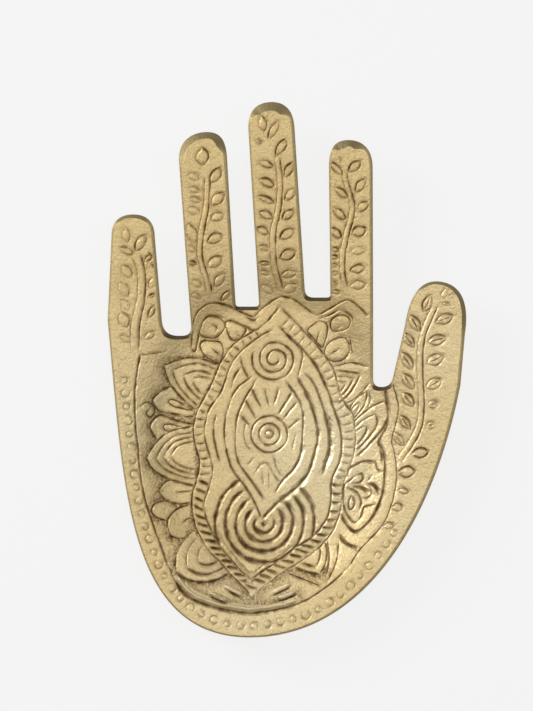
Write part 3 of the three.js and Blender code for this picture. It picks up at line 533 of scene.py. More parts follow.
# Scalloped band at the finger roots, and the round petals under it with their slits
SCALLOP_LINES = [
    [(-37.8, 8.6), (-37.4, 17.8), (-34.4, 24.2), (-29.2, 26.9), (-22.8, 25.4), (-17.9, 23.4), (-13, 21.3)],
    [(-13, 21.3), (-9.4, 24.8), (-4.2, 28.2), (-0.8, 29), (4.2, 27.4), (7.5, 25), (12.6, 21.7)],
    [(12.6, 21.7), (18.4, 25), (24.2, 27.9), (28.3, 25.8), (32.4, 21.7)],
    [(-37.8, 8.6), (-36.8, 7.5), (-35.8, 8.6), (-34.1, 17.2), (-31.7, 21.1), (-29.2, 21.9), (-24.6, 20.5)],
    [(-24, 19.4), (-21, 19.4), (-16.4, 17.4), (-12.7, 15.6), (-8.1, 19), (-4.4, 23.4), (-2.6, 25.2)],
    [(13.4, 20.6), (16.8, 21.7), (22.1, 23.7), (26.2, 21.3), (27, 18.6)],
    [(-15.8, 21.3), (-13, 20), (-11.8, 20.8)],
]
ROUND_PETALS = [
    [(-34.2, 16), (-32, 20.8), (-28, 21.2), (-24.8, 19), (-24.6, 16.8), (-27.2, 13.6), (-31.2, 13.2),
     (-33.6, 14)],
    [(-24.2, 18.8), (-21, 19.4), (-17.2, 18), (-16, 15.6), (-17.9, 12.8), (-20.4, 11.6), (-22.4, 13.4)],
    [(-33.2, 11.6), (-30.4, 12), (-26.4, 11.4), (-24.6, 7.8), (-26.4, 2.8), (-28.9, 3.7), (-32.3, 5.8),
     (-34, 9.2)],
    [(13.2, 19.6), (9.8, 17.1), (9.1, 15.1), (11.1, 12.8), (14.4, 9.1), (15.8, 12.1), (16.8, 16.1),
     (15.9, 18.9)],
    [(18, 18.2), (19.4, 21), (23.5, 21.7), (25.9, 19.6), (24.9, 16.5), (21.6, 15.2), (18.8, 15.6)],
    [(15.6, 8.6), (18, 11.4), (22.8, 12.7), (25.2, 10.6), (24.9, 6.5), (22.1, 3.8), (18, 3.8), (15.8, 5.6)],
]
ROUND_PETAL_HEIGHT = 0.3
PETAL_SLITS = [
    [(-28, 15.4), (-27.4, 17), (-29, 18)],
    [(-20, 14.4), (-17.9, 12.8)],
    [(-28.9, 8.6), (-25.9, 6.1)],
    [(13.4, 15.4), (12.1, 10.8)],
    [(22.1, 17.2), (20.8, 15.6)],
    [(17.3, 6.2), (21.1, 8.2)],
    [(25.6, 13.1), (26.2, 8.6), (26.6, 6)],
]

# Felt pads under the dish. Rings are inset in their faces, round a middle as wide as a few more of them.
FELT_NODES = ["felt_pad_heel_left", "felt_pad_heel_right", "felt_pad_finger_left", "felt_pad_finger_right"]
ADHESIVE_NODES = [name.replace("felt_pad", "adhesive_disc") for name in FELT_NODES]
FELT_SIDES = 96
FELT_RINGS = 12
FELT_MIDDLE_RINGS = 2
FELT_EDGE = 0.4
FELT_EDGE_STEPS = 3
FELT_FUZZ = 0.12
FELT_FUZZ_LENGTH = 0.7
FELT_SMOOTH_ANGLE = 38

# Colours of the finishes and of the painted light and shade, in screen values from 0 to 255
DEEP_GOLD = (210, 183, 126)
PALE_GOLD = (226, 203, 150)
# Paler metal where hands have worn it and where a sheen of light is painted
SHEEN_WORN_GOLD = (232, 221, 188)
WASH_BROWN = (166, 130, 74)
SPECK_BROWN = (160, 128, 76)
# Painted highlight on the walls of the lines that face the key lamp
WALL_HIGHLIGHT_CREAM = (247, 236, 204)
# Painted highlight on the raised ridges
RIDGE_HIGHLIGHT_CREAM = (253, 238, 196)
STAIN_BROWN = (92, 66, 31)
GROUND_BROWN = (108, 80, 42)
EDGE_GREY = (150, 134, 94)
# Painted grey reflection on the filed fingertip facets
FACET_REFLECTION_GREY = (146, 132, 96)
# Painted shade on the leaning walls at the bottoms of the gaps
GAP_SHADE_BROWN = (62, 48, 28)
DARK_FELT = (30, 27, 25)
PALE_FELT = (70, 64, 59)
TUFT_FELT = (46, 41, 38)
DARK_FILM = (222, 216, 200)
PALE_FILM = (240, 236, 226)

# Patterns in the finishes: wave length, detail and roughness of the noise
GOLD_MOTTLE = (14, 4, 0.6)
GOLD_SPECKLE = (0.9, 4, 0.7)
GOLD_GRAIN = (1, 2, 0.6)
GOLD_BLOTCH = (1.3, 4, 0.7)
GOLD_PATCH = (4, 3, 0.6)
FELT_FIBRES = (0.25, 5, 0.75)
FELT_TUFTS = (2.2, 3, 0.6)
FILM_FOAM = (0.4, 3, 0.6)

# How deep the patterns look, and how matt the felt and the film are
GOLD_BUMP = 0.3
FELT_BUMP = 0.12
FILM_BUMP = 0.03
FELT_ROUGHNESS = 0.95
FILM_ROUGHNESS = 0.45

# Camera straight above, and the studio
VIEW_CENTRE = (-7.8, 5.8)
VIEW_HEIGHT = 284.4
CAMERA_DISTANCE = 1500
CAMERA_REACH = 10000
SENSOR_HEIGHT = 36
BACKGROUND = 0.922
WORLD_STRENGTH = 0.3
Lamp = namedtuple("Lamp", "name place size power")
LAMPS = [
    Lamp("overhead", (-100, 300, 1900), 1400, 9), Lamp("key", (-1050, 600, 600), 500, 11.3),
    Lamp("fill", (750, 100, 1500), 900, 2.6),
]
FLOOR_SIZE = 6000
FLOOR_COLOUR = 0.9
FLOOR_ROUGHNESS = 0.9
FLOOR_GLOW_SHARE = 0.9


# Curves

def along(points):
    """Distances of the points of a path from its start."""
    return np.concatenate([[0], np.cumsum(np.linalg.norm(np.diff(points, axis=0), axis=1))])


def evenly(points, step):
    """The path again, with points at even distances of about one step."""
    distance = along(points)
    count = max(1, round(distance[-1] / step))
    places = np.linspace(0, distance[-1], count + 1)
    return np.column_stack([np.interp(places, distance, points[:, axis]) for axis in (0, 1)])


def bezier(*corners, count=CURVE_POINTS):
    """Points of a Bezier curve with three or four corners."""
    points = np.array(corners, float)[:, None, :]
    share = np.linspace(0, 1, count)[:, None]
    while len(points) > 1:
        points = points[:-1] * (1 - share) + points[1:] * share
    return points[0]


def spline(points, closed=False, step=PATH_STEP):
    """A smooth path through a few points."""
    corners = np.array(points, float)
    if len(corners) == 2:
        return evenly(corners, step)
    if closed:
        padded = np.vstack([corners[-1:], corners, corners[:2]])
    else:
        padded = np.vstack([2 * corners[0] - corners[1], corners, 2 * corners[-1] - corners[-2]])
    share = np.linspace(0, 1, SPLINE_POINTS, endpoint=False)[:, None]
    pieces = []
    for before, start, end, after in zip(padded, padded[1:], padded[2:], padded[3:]):
        leave = (end - before) / 2
        arrive = (after - start) / 2
        cubic = 2 * start - 2 * end + leave + arrive
        square = 3 * (end - start) - 2 * leave - arrive
        pieces.append(((cubic * share + square) * share + leave) * share + start)
    last = corners[:1] if closed else corners[-1:]
    return evenly(np.vstack([*pieces, last]), step)


def bow(start, middle, end, step=PATH_STEP):
    """A single curve from start to end that passes through a middle point."""
    pull = 2 * np.array(middle) - (np.array(start) + np.array(end)) / 2
    return evenly(bezier(start, pull, end), step)


def arc(centre, radius, start, end, step=PATH_STEP):
    """Part of a circle between two angles in degrees."""
    turn = np.radians(np.linspace(start, end, ARC_POINTS))
    return evenly(np.array(centre) + radius * np.column_stack([np.cos(turn), np.sin(turn)]), step)


def normals(path, closed=False):
    """Unit vectors to the left of a path at each of its points."""
    if closed:
        ahead = np.roll(path, -1, axis=0) - np.roll(path, 1, axis=0)
    else:
        ahead = np.gradient(path, axis=0)
    ahead = ahead / np.linalg.norm(ahead, axis=1)[:, None]
    return np.column_stack([-ahead[:, 1], ahead[:, 0]])


def inside(points, polygon):
    """Which of the points lie inside a closed polygon."""
    x, y = points[:, 0], points[:, 1]
    result = np.zeros(len(points), bool)
    for (x0, y0), (x1, y1) in zip(polygon, np.roll(polygon, -1, axis=0)):
        if y0 == y1:
            continue
        crosses = (y0 > y) != (y1 > y)
        result ^= crosses & (x < (x1 - x0) * (y - y0) / (y1 - y0) + x0)
    return result


def smooth_share(value, low, high):
    """0 up to low, 1 from high on, with a smooth change between."""
    share = np.clip((value - low) / (high - low), 0, 1)
    return share * share * (3 - 2 * share)


# Outline of the hand

class FingerPlan:
    """Where a finger lies: points at a distance from its root along it and to its right."""

    def __init__(self, finger, root_x):
        lean = math.radians(finger.lean)
        self.finger = finger
        self.root = np.array([root_x, finger.root_y])
        self.along = np.array([math.sin(lean), math.cos(lean)])
        self.across = np.array([self.along[1], -self.along[0]])
        shoulder = finger.length - finger.crown
        self.left_root = self.at(0, -finger.root_width / 2)
        self.right_root = self.at(0, finger.root_width / 2)
        self.left_shoulder = self.at(shoulder, -finger.tip_width / 2)
        self.right_shoulder = self.at(shoulder, finger.tip_width / 2)
        self.apex = self.at(finger.length, finger.crest)

    def at(self, distance, side):
        return self.root + self.along * distance + self.across * side

    def crown(self):
        """The two curves over the fingertip."""
        rise = self.along * self.finger.crown * CROWN_FULLNESS
        reach = self.across * self.finger.tip_width / 2 * CROWN_FULLNESS
        return [
            bezier(self.left_shoulder, self.left_shoulder + rise, self.apex - reach, self.apex),
            bezier(self.apex, self.apex + reach, self.right_shoulder + rise, self.right_shoulder),
        ]


def lay_out_fingers():
    """The fingers side by side, with the gaps between them."""
    plans = []
    edge = LITTLE_FINGER_EDGE_X
    for finger, gap in zip(FINGERS, [*GAPS, None]):
        plans.append(FingerPlan(finger, edge + finger.root_width / 2))
        edge += finger.root_width + (gap.width if gap else 0)
    return plans


def at_height(start, end, y):
    """The point of a straight line at a height."""
    return start + (end - start) * (y - start[1]) / (end[1] - start[1])


def gap_curves(left, right, gap):
    """The two rounded corners at the bottom of the gap between two fingers."""
    left_corner = at_height(left.right_shoulder, left.right_root, gap.bottom_y)
    right_corner = at_height(right.left_shoulder, right.left_root, gap.bottom_y)
    room = right_corner[0] - left_corner[0]
    fit = min(1, room / (gap.left_radius + gap.right_radius))
    left_radius, right_radius = gap.left_radius * fit, gap.right_radius * fit
    left_top = at_height(left.right_shoulder, left.right_root, gap.bottom_y + left_radius)
    right_top = at_height(right.left_shoulder, right.left_root, gap.bottom_y + right_radius)
    return [
        bezier(left_top, left_corner, left_corner + (left_radius, 0)),
        bezier(right_corner - (right_radius, 0), right_corner, right_top),
    ]


def palm_side(plans):
    """The edge of the palm, from the thumb round the heel to the little finger."""
    heel = np.array(HEEL)
    right_top, left_top = plans[-1].right_root, plans[0].left_root
    right_pull, left_pull = (HEEL_PULL_RIGHT, 0), (HEEL_PULL_LEFT, 0)
    right = bezier(right_top, right_top + RIGHT_SIDE_PULL, heel + right_pull, heel, count=PALM_POINTS)
    left = bezier(heel, heel - left_pull, left_top + LEFT_SIDE_PULL, left_top, count=PALM_POINTS)
    return np.vstack([right, left[1:]])


def hand_outline(plans):
    """The outline of the whole hand, as a loop of even steps."""
    pieces = []
    for left, right, gap in zip(plans, plans[1:], GAPS):
        pieces += left.crown() + gap_curves(left, right, gap)
    pieces += plans[-1].crown() + [palm_side(plans)]
    loop = np.vstack(pieces)
    return evenly(np.vstack([loop, loop[:1]]), OUTLINE_STEP)[:-1]


# Dish

def dish_rise(points):
    """How far the dish rises over its flat floor."""
    share = np.hypot(*((points - DISH_CENTRE) / DISH_HALF_SIZE).T)
    past = np.maximum(0, share - FLOOR_SHARE)
    cove = COVE_RISE * (1 - np.exp(-((past / COVE_SHARE) ** 2)))
    return cove + FINGER_LIFT * past**2 / (past + LIFT_SHARE)


def noise_at(points, length, level):
    """Smooth noise between -1 and 1 with the given wave length, from one slice of it."""
    return np.array([noise.noise(Vector((x / length, y / length, level))) for x, y in points])


def strayed(points):
    """The points moved a little, as a line drawn by hand strays."""
    moved = np.array(points, float)
    for length, reach in STRAY:
        moved += reach * np.column_stack([noise_at(points, length, level) for level in STRAY_SLICES])
    return moved


def top_z(points):
    """Height of the plain upper face, with the slow waves of a casting."""
    waves = CAST_WAVE_HEIGHT * noise_at(points, CAST_WAVE_LENGTH, WAVE_SLICE)
    return UNDERSIDE_Z + dish_rise(points) + WALL + waves


def under_z(points):
    """Height of the underside."""
    return UNDERSIDE_Z + dish_rise(points)


# Relief

class Relief:
    """All carved lines, raised bands, domes and sunk areas of the tray's upper side."""

    # Segments of a stroke that points are measured against at a time
    CHUNK = 16

    def __init__(self):
        self.cuts = []
        self.bands = []
        self.domes = []
        self.ground = None
        self.islands = []
        self.shores = []

    def cut(self, path, width=LINE_WIDTH, depth=LINE_DEPTH, taper=TAPER):
        """Carves a line. Its width may be one number, or one at each end; a taper shallows its ends."""
        distance = along(path)
        half = np.interp(distance, [0, distance[-1]], np.broadcast_to(width, 2)) / 2
        from_end = np.minimum(distance, distance[-1] - distance)
        ease = np.clip(from_end / taper, END_SHARE, 1) if taper else np.ones(len(path))
        uneven = 1 + UNEVENNESS * noise_at(path, UNEVEN_LENGTH, UNEVEN_SLICE)
        self.cuts.append((strayed(path), half * np.sqrt(uneven), depth * np.sqrt(ease) * uneven))

    def band(self, path, width, height):
        """Raises a rounded band along a path."""
        distance = along(path)
        from_end = np.minimum(distance, distance[-1] - distance)
        rise = height * np.clip(from_end / width, 0, 1)
        self.bands.append((strayed(path), np.full(len(path), width / 2), rise))

    def dome(self, centre, angle, length, width, height):
        """Raises a pillow with an oval foot; the angle is the direction of its length in degrees."""
        turn = math.radians(angle)
        axes = np.array([[math.cos(turn), math.sin(turn)], [-math.sin(turn), math.cos(turn)]])
        self.domes.append((np.array(centre), axes, np.array([length, width]) / 2, height))

    @staticmethod
    def strongest(points, strokes, profile):
        """The highest that any stroke reaches at each point."""
        result = np.zeros(len(points))
        for path, half, height in strokes:
            for first in range(0, len(path) - 1, Relief.CHUNK):
                part = slice(first, first + Relief.CHUNK + 1)
                piece, reach, rise = path[part], half[part], height[part]
                low, high = piece.min(axis=0) - reach.max(), piece.max(axis=0) + reach.max()
                near = np.flatnonzero(((points > low) & (points < high)).all(axis=1))
                if not near.size:
                    continue
                start, step = piece[:-1], np.diff(piece, axis=0)
                offset = points[near][:, None, :] - start[None]
                share = np.clip((offset * step).sum(axis=2) / (step * step).sum(axis=1), 0, 1)
                gap = np.linalg.norm(offset - share[..., None] * step, axis=2)
                width_here = reach[:-1] * (1 - share) + reach[1:] * share
                height_here = rise[:-1] * (1 - share) + rise[1:] * share
                value = height_here * profile(np.minimum(1, gap / width_here))
                result[near] = np.maximum(result[near], value.max(axis=1))
        return result

    def ridges(self, points):
        """How far raised bands stand over the dish."""
        return self.strongest(points, self.bands, lambda t: (1 - t * t) ** 2)

    def raised(self, points):
        """How far bands and domes stand over the dish."""
        result = self.ridges(points)
        for centre, axes, half, height in self.domes:
            local = (points - centre) @ axes.T / half
            swell = np.clip(1 - (local**2).sum(axis=1), 0, 1)
            result = np.maximum(result, height * np.sqrt(swell) * np.minimum(1, 2 * swell))
        return result

    def carved(self, points):
        """How deep the carved lines go."""
        return self.strongest(points, self.cuts, lambda t: (1 - t) ** LINE_HOLLOW)

    def recess(self, points):
        """0 beside the carved lines, rising to 1 where they are deep enough to hold a full stain."""
        return np.minimum(1, self.strongest(points, self.cuts, lambda t: 1 - t) / STAIN_DEPTH)

    def lamp_facing_wall(self, points):
        """1 on line walls that face the key lamp, for a painted highlight; 0 on their other walls and
        beside them.
        """
        step = LAMP_FACING_STEP * heading(LAMP_FACING_ANGLE)
        slope = (self.carved(points + step) - self.carved(points - step)) / (2 * LAMP_FACING_STEP)
        return np.clip(slope / LAMP_FACING_SLOPE, 0, 1)

    def wash(self, points):
        """How much brown wash is left beside the carved lines: 1 on a line, 0 well away from it."""
        wide = [
            (path, half * WASH_SPREAD, np.minimum(1, depth / LINE_DEPTH))
            for path, half, depth in self.cuts
        ]
        return self.strongest(points, wide, lambda t: (1 - t) ** 2)

    def ground_share(self, points):
        """1 on the rough ground close to the petals, less farther off, 0 on the petals and outside."""
        open_ground = inside(points, self.ground)
        for polygon in self.islands:
            open_ground &= ~inside(points, polygon)
        shore = np.vstack(self.islands + self.shores)
        tree = KDTree(len(shore))
        for number, (x, y) in enumerate(shore):
            tree.insert((x, y, 0), number)
        tree.balance()
        share = np.zeros(len(points))
        for i in np.flatnonzero(open_ground):
            distance = tree.find((*points[i], 0))[2]
            share[i] = math.exp(-((distance / GROUND_REACH) ** 2))
        return share


def wear_and_sheen_share(points):
    """How far hands have worn the wash off, and how strong the painted sheen of light is there."""
    shares = [
        strength * np.exp(-((points - middle) ** 2).sum(axis=1) / reach**2)
        for middle, reach, strength in WEAR_AND_SHEEN_PLACES
    ]
    return np.max(shares, axis=0)


def lens(centre, angle, length, width):
    """The two edges of a leaf, from its foot to its tip."""
    turn = math.radians(angle)
    axis = np.array([math.cos(turn), math.sin(turn)])
    side = np.array([-axis[1], axis[0]])
    foot, tip = np.array(centre) - axis * length / 2, np.array(centre) + axis * length / 2
    return [evenly(bezier(foot, np.array(centre) + side * width * way, tip), PATH_STEP) for way in (1, -1)]


def carve_lines(relief, lines, *cut, **settings):
    """Smooth lines through lists of points, all cut alike."""
    for points in lines:
        relief.cut(spline(points), *cut, **settings)


def carve_leaf(relief, leaf, slit=False):
    """A pointed leaf: its two edges, a slight swell, and for some a slit down the middle."""
    centre = (leaf.x, leaf.y)
    edges = lens(centre, leaf.angle, leaf.length, leaf.width)
    lower, upper = sorted(edges, key=lambda edge: edge[:, 1].mean())
    relief.cut(upper, LEAF_LINE_WIDTH, leaf.depth, taper=LEAF_TAPER)
    relief.cut(lower, LEAF_LINE_WIDTH, leaf.depth * LEAF_LOWER_SHARE, taper=LEAF_TAPER)
    relief.dome(centre, leaf.angle, leaf.length, leaf.width, LEAF_SWELL * leaf.depth**2)
    if slit and leaf.width > SLIT_LEAST_WIDTH:
        middle = np.array(centre) + SLIT_SHARE * (sum(edges) / 2 - centre)
        relief.cut(middle, SLIT_WIDTH, leaf.depth * SLIT_DEPTH_SHARE, taper=LEAF_TAPER)


def carve_vine(relief, vine):
    """A winding stem with leaves beside it."""
    stem = spline(vine.stem)
    relief.band(stem, vine.stem_width, STEM_HEIGHT)
    reach = normals(stem) * vine.stem_width / 2
    relief.cut(stem + reach, *STEM_LINE_RIGHT)
    relief.cut(stem - reach, *STEM_LINE_LEFT)
    for leaf in vine.leaves:
        carve_leaf(relief, leaf, vine.slits)


def carve_border(relief, plans):
    """The line inside the palm's edge, the roll beside it, and the punched rings outside it."""
    line = spline(BORDER_LINE)
    inward = -normals(line)
    low = (line[:, 1] < BORDER_ROLL_TOP_Y) & (line[:, 0] < BORDER_ROLL_END_X)
    relief.cut(line)
    relief.band((line + inward * BORDER_ROLL_INSET)[low], BORDER_ROLL_WIDTH, BORDER_ROLL_HEIGHT)
    relief.cut(line[low], *BORDER_ROLL_LINE, taper=BORDER_ROLL_TAPER)
    shore = line + inward * (low * (BORDER_ROLL_INSET + BORDER_ROLL_WIDTH / 2))[:, None]
    relief.shores.append(shore[low])
    relief.cut(spline(BORDER_RIGHT), FINE_WIDTH, LINE_DEPTH)
    relief.cut(spline(BORDER_TOP), FINE_WIDTH, FINE_DEPTH)
    for leaf in BORDER_LEAVES:
        carve_leaf(relief, leaf)
    edge = evenly(palm_side(plans), PATH_STEP)
    outward = normals(edge)
    bead_line = edge - outward * BEAD_INSET
    in_row = bead_line[:, 1] < np.where(edge[:, 0] < DISH_CENTRE[0], BEAD_TOP_Y, BEAD_END_Y)
    for count, centre in enumerate(evenly(bead_line[in_row], BEAD_PITCH)):
        carve_bead(relief, centre, count)
    return shore


def carve_bead(relief, centre, count):
    """A punched ring, open at one side; each bead of the row is turned and sized a little differently."""
    opening = BEAD_TURN * count
    radius = BEAD_RADIUS * (1 + BEAD_UNEVENNESS * math.sin(BEAD_RHYTHM * count))
    relief.cut(arc(centre, radius, opening, opening + BEAD_ARC), *BEAD_LINE, taper=BEAD_TAPER)
    relief.dome(centre, 0, 2 * radius, 2 * radius, BEAD_HEIGHT)


def crossing(edge, point, direction):
    """Where an edge line crosses the straight line in a direction through a point, nearest to the point."""
    offset = edge - point
    astray = offset[:, 0] * direction[1] - offset[:, 1] * direction[0]
    distance = np.linalg.norm(offset, axis=1)
    crosses = np.append(astray[:-1] * astray[1:] <= 0, False)
    return edge[np.argmin(np.where(crosses, distance, np.inf))]


def heading(degrees):
    """A step of length 1 in a direction."""
    return np.array([math.cos(math.radians(degrees)), math.sin(math.radians(degrees))])


def carve_frame(relief, half):
    """Two edge lines with short rungs between them, which lower down turn into a rope's strands."""
    outer, inner = spline(half.outer), spline(half.inner)
    relief.cut(outer, *half.outer_line)
    relief.cut(inner, *half.inner_line)
    share = np.linspace(0, 1, FRAME_POINTS)
    sides = [
        np.column_stack([np.interp(share, along(edge) / along(edge)[-1], edge[:, axis]) for axis in (0, 1)])
        for edge in (outer, inner)
    ]
    middle = evenly((sides[0] + sides[1]) / 2, FRAME_STEP)
    across = normals(middle)
    distance = along(middle)
    place = LADDER_PITCH
    while place < distance[-1] - ROPE_END:
        i = int(np.searchsorted(distance, place))
        swing = RUNG_SWING * math.sin(RUNG_RHYTHM * place)
        if middle[i, 1] < ROPE_TOP_Y:
            slope = np.interp(middle[i, 1], (middle[-1, 1], ROPE_TOP_Y), half.strand_slopes[::-1])
            stops, line, pitch = STRAND_STOPS, STRAND_LINE, ROPE_PITCH
        else:
            slope = math.degrees(math.atan2(across[i, 1], across[i, 0])) + swing
            stops, line, pitch = RUNG_STOPS, half.rung_line, LADDER_PITCH
        ends = np.array([crossing(edge, middle[i], heading(slope)) for edge in (outer, inner)])
        if np.linalg.norm(ends[0] - ends[1]) < FRAME_REACH:
            ends += (ends[::-1] - ends) * np.array(stops)[:, None]
            relief.cut(evenly(ends, PATH_STEP), *line, taper=RUNG_TAPER)
        place += pitch
    return outer


def carve_spiral(relief):
    """The spiral disc, wound outwards."""
    turn = np.linspace(0, SPIRAL_TURNS * 2 * math.pi, SPIRAL_POINTS)
    radius = np.interp(turn, [0, turn[-1]], SPIRAL_RADII)
    angle = math.radians(SPIRAL_END_ANGLE) + turn[-1] - turn
    path = np.array(SPIRAL_CENTRE) + radius[:, None] * np.column_stack([np.cos(angle), np.sin(angle)])
    relief.cut(evenly(path, PATH_STEP))


def carve_eye(relief):
    """The eye with its pupil, lid and rays, and the strokes under it."""
    for radius in EYE_RINGS:
        relief.cut(arc(EYE_CENTRE, radius, 0, 360), taper=0)
    relief.dome(EYE_CENTRE, 0, 2 * EYE_PUPIL, 2 * EYE_PUPIL, EYE_PUPIL_HEIGHT)
    relief.cut(arc(EYE_CENTRE, EYE_PUPIL, 0, 360), *EYE_PUPIL_LINE, taper=0)
    relief.cut(arc(EYE_CENTRE, *EYE_LID), FINE_WIDTH, FINE_DEPTH)
    for outer_angle, outer_distance, inner_angle, inner_distance in RAYS:
        ends = [
            np.array(EYE_CENTRE) + distance * heading(angle)
            for angle, distance in ((outer_angle, outer_distance), (inner_angle, inner_distance))
        ]
        relief.cut(evenly(np.array(ends), PATH_STEP), RAY_WIDTHS, RAY_DEPTH, taper=RAY_TAPER)
    carve_lines(relief, UNDER_EYE, FINE_WIDTH, FINE_DEPTH)


def carve_petal(relief, petal):
    """A petal drawn as pointed lines nested one inside the other round the middle of its foot."""
    middle = (np.array(petal.upper_foot) + petal.lower_foot) / 2
    outline = []
    for share in petal.shares:
        corners = [middle + (np.array(corner) - middle) * share for corner in petal[:PETAL_CORNERS]]
        upper = bow(*corners[:3])
        lower = bow(*corners[2:])
        inner_share = 1 if share == 1 else PETAL_INNER_SHARE
        for side, (width, depth) in ((upper, petal.upper_line), (lower, petal.lower_line)):
            relief.cut(side, width, depth * inner_share)
        outline.append(np.vstack([upper, lower]))
    relief.islands.append(outline[0])


def carve_almond(relief):
    """The almond in the middle of the palm, with its crescents, spiral, eye and rings."""
    carve_lines(relief, ALMOND_LINES + CRESCENTS)
    carve_lines(relief, DEEP_LINES, *DEEP_LINE)
    carve_lines(relief, BROAD_LINES, *BROAD_LINE, taper=BROAD_TAPER)
    carve_spiral(relief)
    carve_eye(relief)
    for radius, start, end in RINGS:
        relief.cut(arc(RINGS_CENTRE, radius, start, end), RING_WIDTH, RING_DEPTH)


def carve_petals(relief):
    """The petals round the frame, the lobes between them, and the lines and slits in both."""
    for petal in PETALS:
        carve_petal(relief, petal)
    for points in LOBES:
        path = spline(points)
        relief.cut(path)
        relief.islands.append(path)
    carve_lines(relief, LOBE_LINES + PETAL_SLITS, FINE_WIDTH, LINE_DEPTH)


def carve_cell(relief):
    """The cell of leaves between the frame and the thumb's border."""
    carve_lines(relief, CELL_LINES, *CELL_LINE)
    carve_lines(relief, CELL_DEEP_LINES, *CELL_DEEP_LINE)
    for swell in CELL_SWELLS:
        relief.dome(*swell)


def carve_heel_blades(relief):
    """Raised blades at the heel, each with a cut below it."""
    for points in HEEL_BLADES:
        blade = spline(points)
        relief.band(blade, BLADE_WIDTH, BLADE_HEIGHT)
        relief.cut(blade - (0, BLADE_CUT_DROP), *BLADE_CUT)


def carve_finger_roots(relief):
    """The scalloped band at the finger roots, and the round petals under it."""
    carve_lines(relief, SCALLOP_LINES)
    for points in ROUND_PETALS:
        path = spline(points, closed=True)
        relief.cut(path, FINE_WIDTH, LINE_DEPTH, taper=0)
        relief.dome(path.mean(axis=0), 0, *np.ptp(path, axis=0), ROUND_PETAL_HEIGHT)


def ground_loop(border, left_frame, right_frame):
    """The loop round the palm's rough ground, between its border and the frame."""
    left = left_frame[left_frame[:, 1] < border[-1, 1]]
    right = right_frame[right_frame[:, 1] < border[0, 1]]
    return np.vstack([border, left, right[::-1]])


def carve_ornament(plans):
    """All the ornament of the hand."""
    relief = Relief()
    for vine in VINES:
        carve_vine(relief, vine)
    border = carve_border(relief, plans)
    left_frame = carve_frame(relief, FRAME_LEFT)
    right_frame = carve_frame(relief, FRAME_RIGHT)
    relief.shores += [left_frame, right_frame]
    carve_lines(relief, [ROPE_LINING], FINE_WIDTH, FINE_DEPTH)
    carve_lines(relief, TIP_STRANDS, *STRAND_LINE)
    carve_almond(relief)
    carve_petals(relief)
    carve_cell(relief)
    carve_heel_blades(relief)
    carve_lines(relief, FLAWS, *FLAW_LINE)
    carve_finger_roots(relief)
    relief.ground = ground_loop(border, left_frame, right_frame)
    return relief


# Casting

def edge_shape(plans, outline, outward):
    """For each point of the outline: the edge's width and drop, and how far it is filed or a gap's wall."""
    distance = along(np.vstack([outline, outline[:1]]))
    length, distance = distance[-1], distance[:-1]
    filed = np.zeros(len(outline))
    width = EDGE_ROUND + (EDGE_ROUND_RIGHT - EDGE_ROUND) * np.clip(outward[:, 0], 0, 1)
    crown = np.zeros(len(outline))
    for plan, facet in zip(plans, FACETS):
        apex = distance[np.argmin(np.linalg.norm(outline - plan.apex, axis=1))]
        past = (distance - apex + length / 2) % length - length / 2
        reach = np.where(past < 0, facet.left, facet.right)
        share = 1 - smooth_share(np.abs(past), FACET_WHOLE_SHARE * reach, reach)
        filed = np.maximum(filed, share)
        ragged = 1 + facet.ragged * noise_at(outline, RAGGED_LENGTH, RAGGED_SLICE)
        width += share * (facet.width * ragged - EDGE_ROUND)
        crown = np.maximum(crown, np.abs(past) < CROWN_REACH)
    lean = smooth_share(outward[:, 1], *GAP_WALL_FACING) * (1 - crown)
    width += lean * (GAP_WALL_WIDTH - EDGE_ROUND)
    drop = EDGE_ROUND + filed * (FACET_DROP - EDGE_ROUND) + lean * (GAP_WALL_DROP - EDGE_ROUND)
    return width, drop, filed, lean


def edge_rings(outline, outward, width, drop, flat):
    """Rings of points from the upper face over the edge and down the wall to the underside."""
    rings = []
    for share in EDGE_SHARES:
        turn = share * math.pi / 2
        inset = (1 - flat) * (1 - math.sin(turn)) + flat * (1 - share)
        fall = (1 - flat) * (1 - math.cos(turn)) + flat * share
        points = outline - outward * (width * inset)[:, None]
        rings.append(np.column_stack([points, top_z(points) - drop * fall]))
    for share in UNDER_SHARES:
        turn = share * math.pi / 2
        points = outline - outward * UNDER_ROUND * (1 - math.cos(turn))
        rings.append(np.column_stack([points, under_z(points) + UNDER_ROUND * (1 - math.sin(turn))]))
    return rings


def hex_lattice(polygon, step):
    """Points of a triangular lattice inside a polygon."""
    low, high = polygon.min(axis=0), polygon.max(axis=0)
    rows = []
    for count, y in enumerate(np.arange(low[1], high[1], step * math.sqrt(3) / 2)):
        x = np.arange(low[0] + (count % 2) * step / 2, high[0], step)
        rows.append(np.column_stack([x, np.full(len(x), y)]))
    points = np.vstack(rows)
    return points[inside(points, polygon)]


def thinned(groups):
    """Points of the groups in turn, without those nearer to an earlier one than their group's clearance."""
    cell = max(clearance for _, clearance in groups)
    filled = {}
    kept = []
    for points, clearance in groups:
        for x, y in points:
            column, row = int(x // cell), int(y // cell)
            near = (
                other
                for i in (column - 1, column, column + 1)
                for j in (row - 1, row, row + 1)
                for other in filled.get((i, j), ())
            )
            if all((x - u) ** 2 + (y - v) ** 2 >= clearance**2 for u, v in near):
                filled.setdefault((column, row), []).append((x, y))
                kept.append((x, y))
    return np.array(kept)


def carved_points(relief, rim):
    """Points of the upper face: its rim, rows along every carved line, and a lattice between them."""
    groups = [(rim, 0)]
    for share, clearance in STROKE_ROWS:
        rows = []
        for path, half, _ in relief.cuts + relief.bands:
            line = evenly(path, STROKE_STEP)
            reach = normals(line) * np.interp(along(line), along(path), half)[:, None] * share
            rows += [line + reach, line - reach]
        points = np.vstack(rows)
        groups.append((points[inside(points, rim)], clearance))
    groups.append((hex_lattice(rim, FIELD_STEP), FIELD_CLEARANCE))
    return thinned(groups)


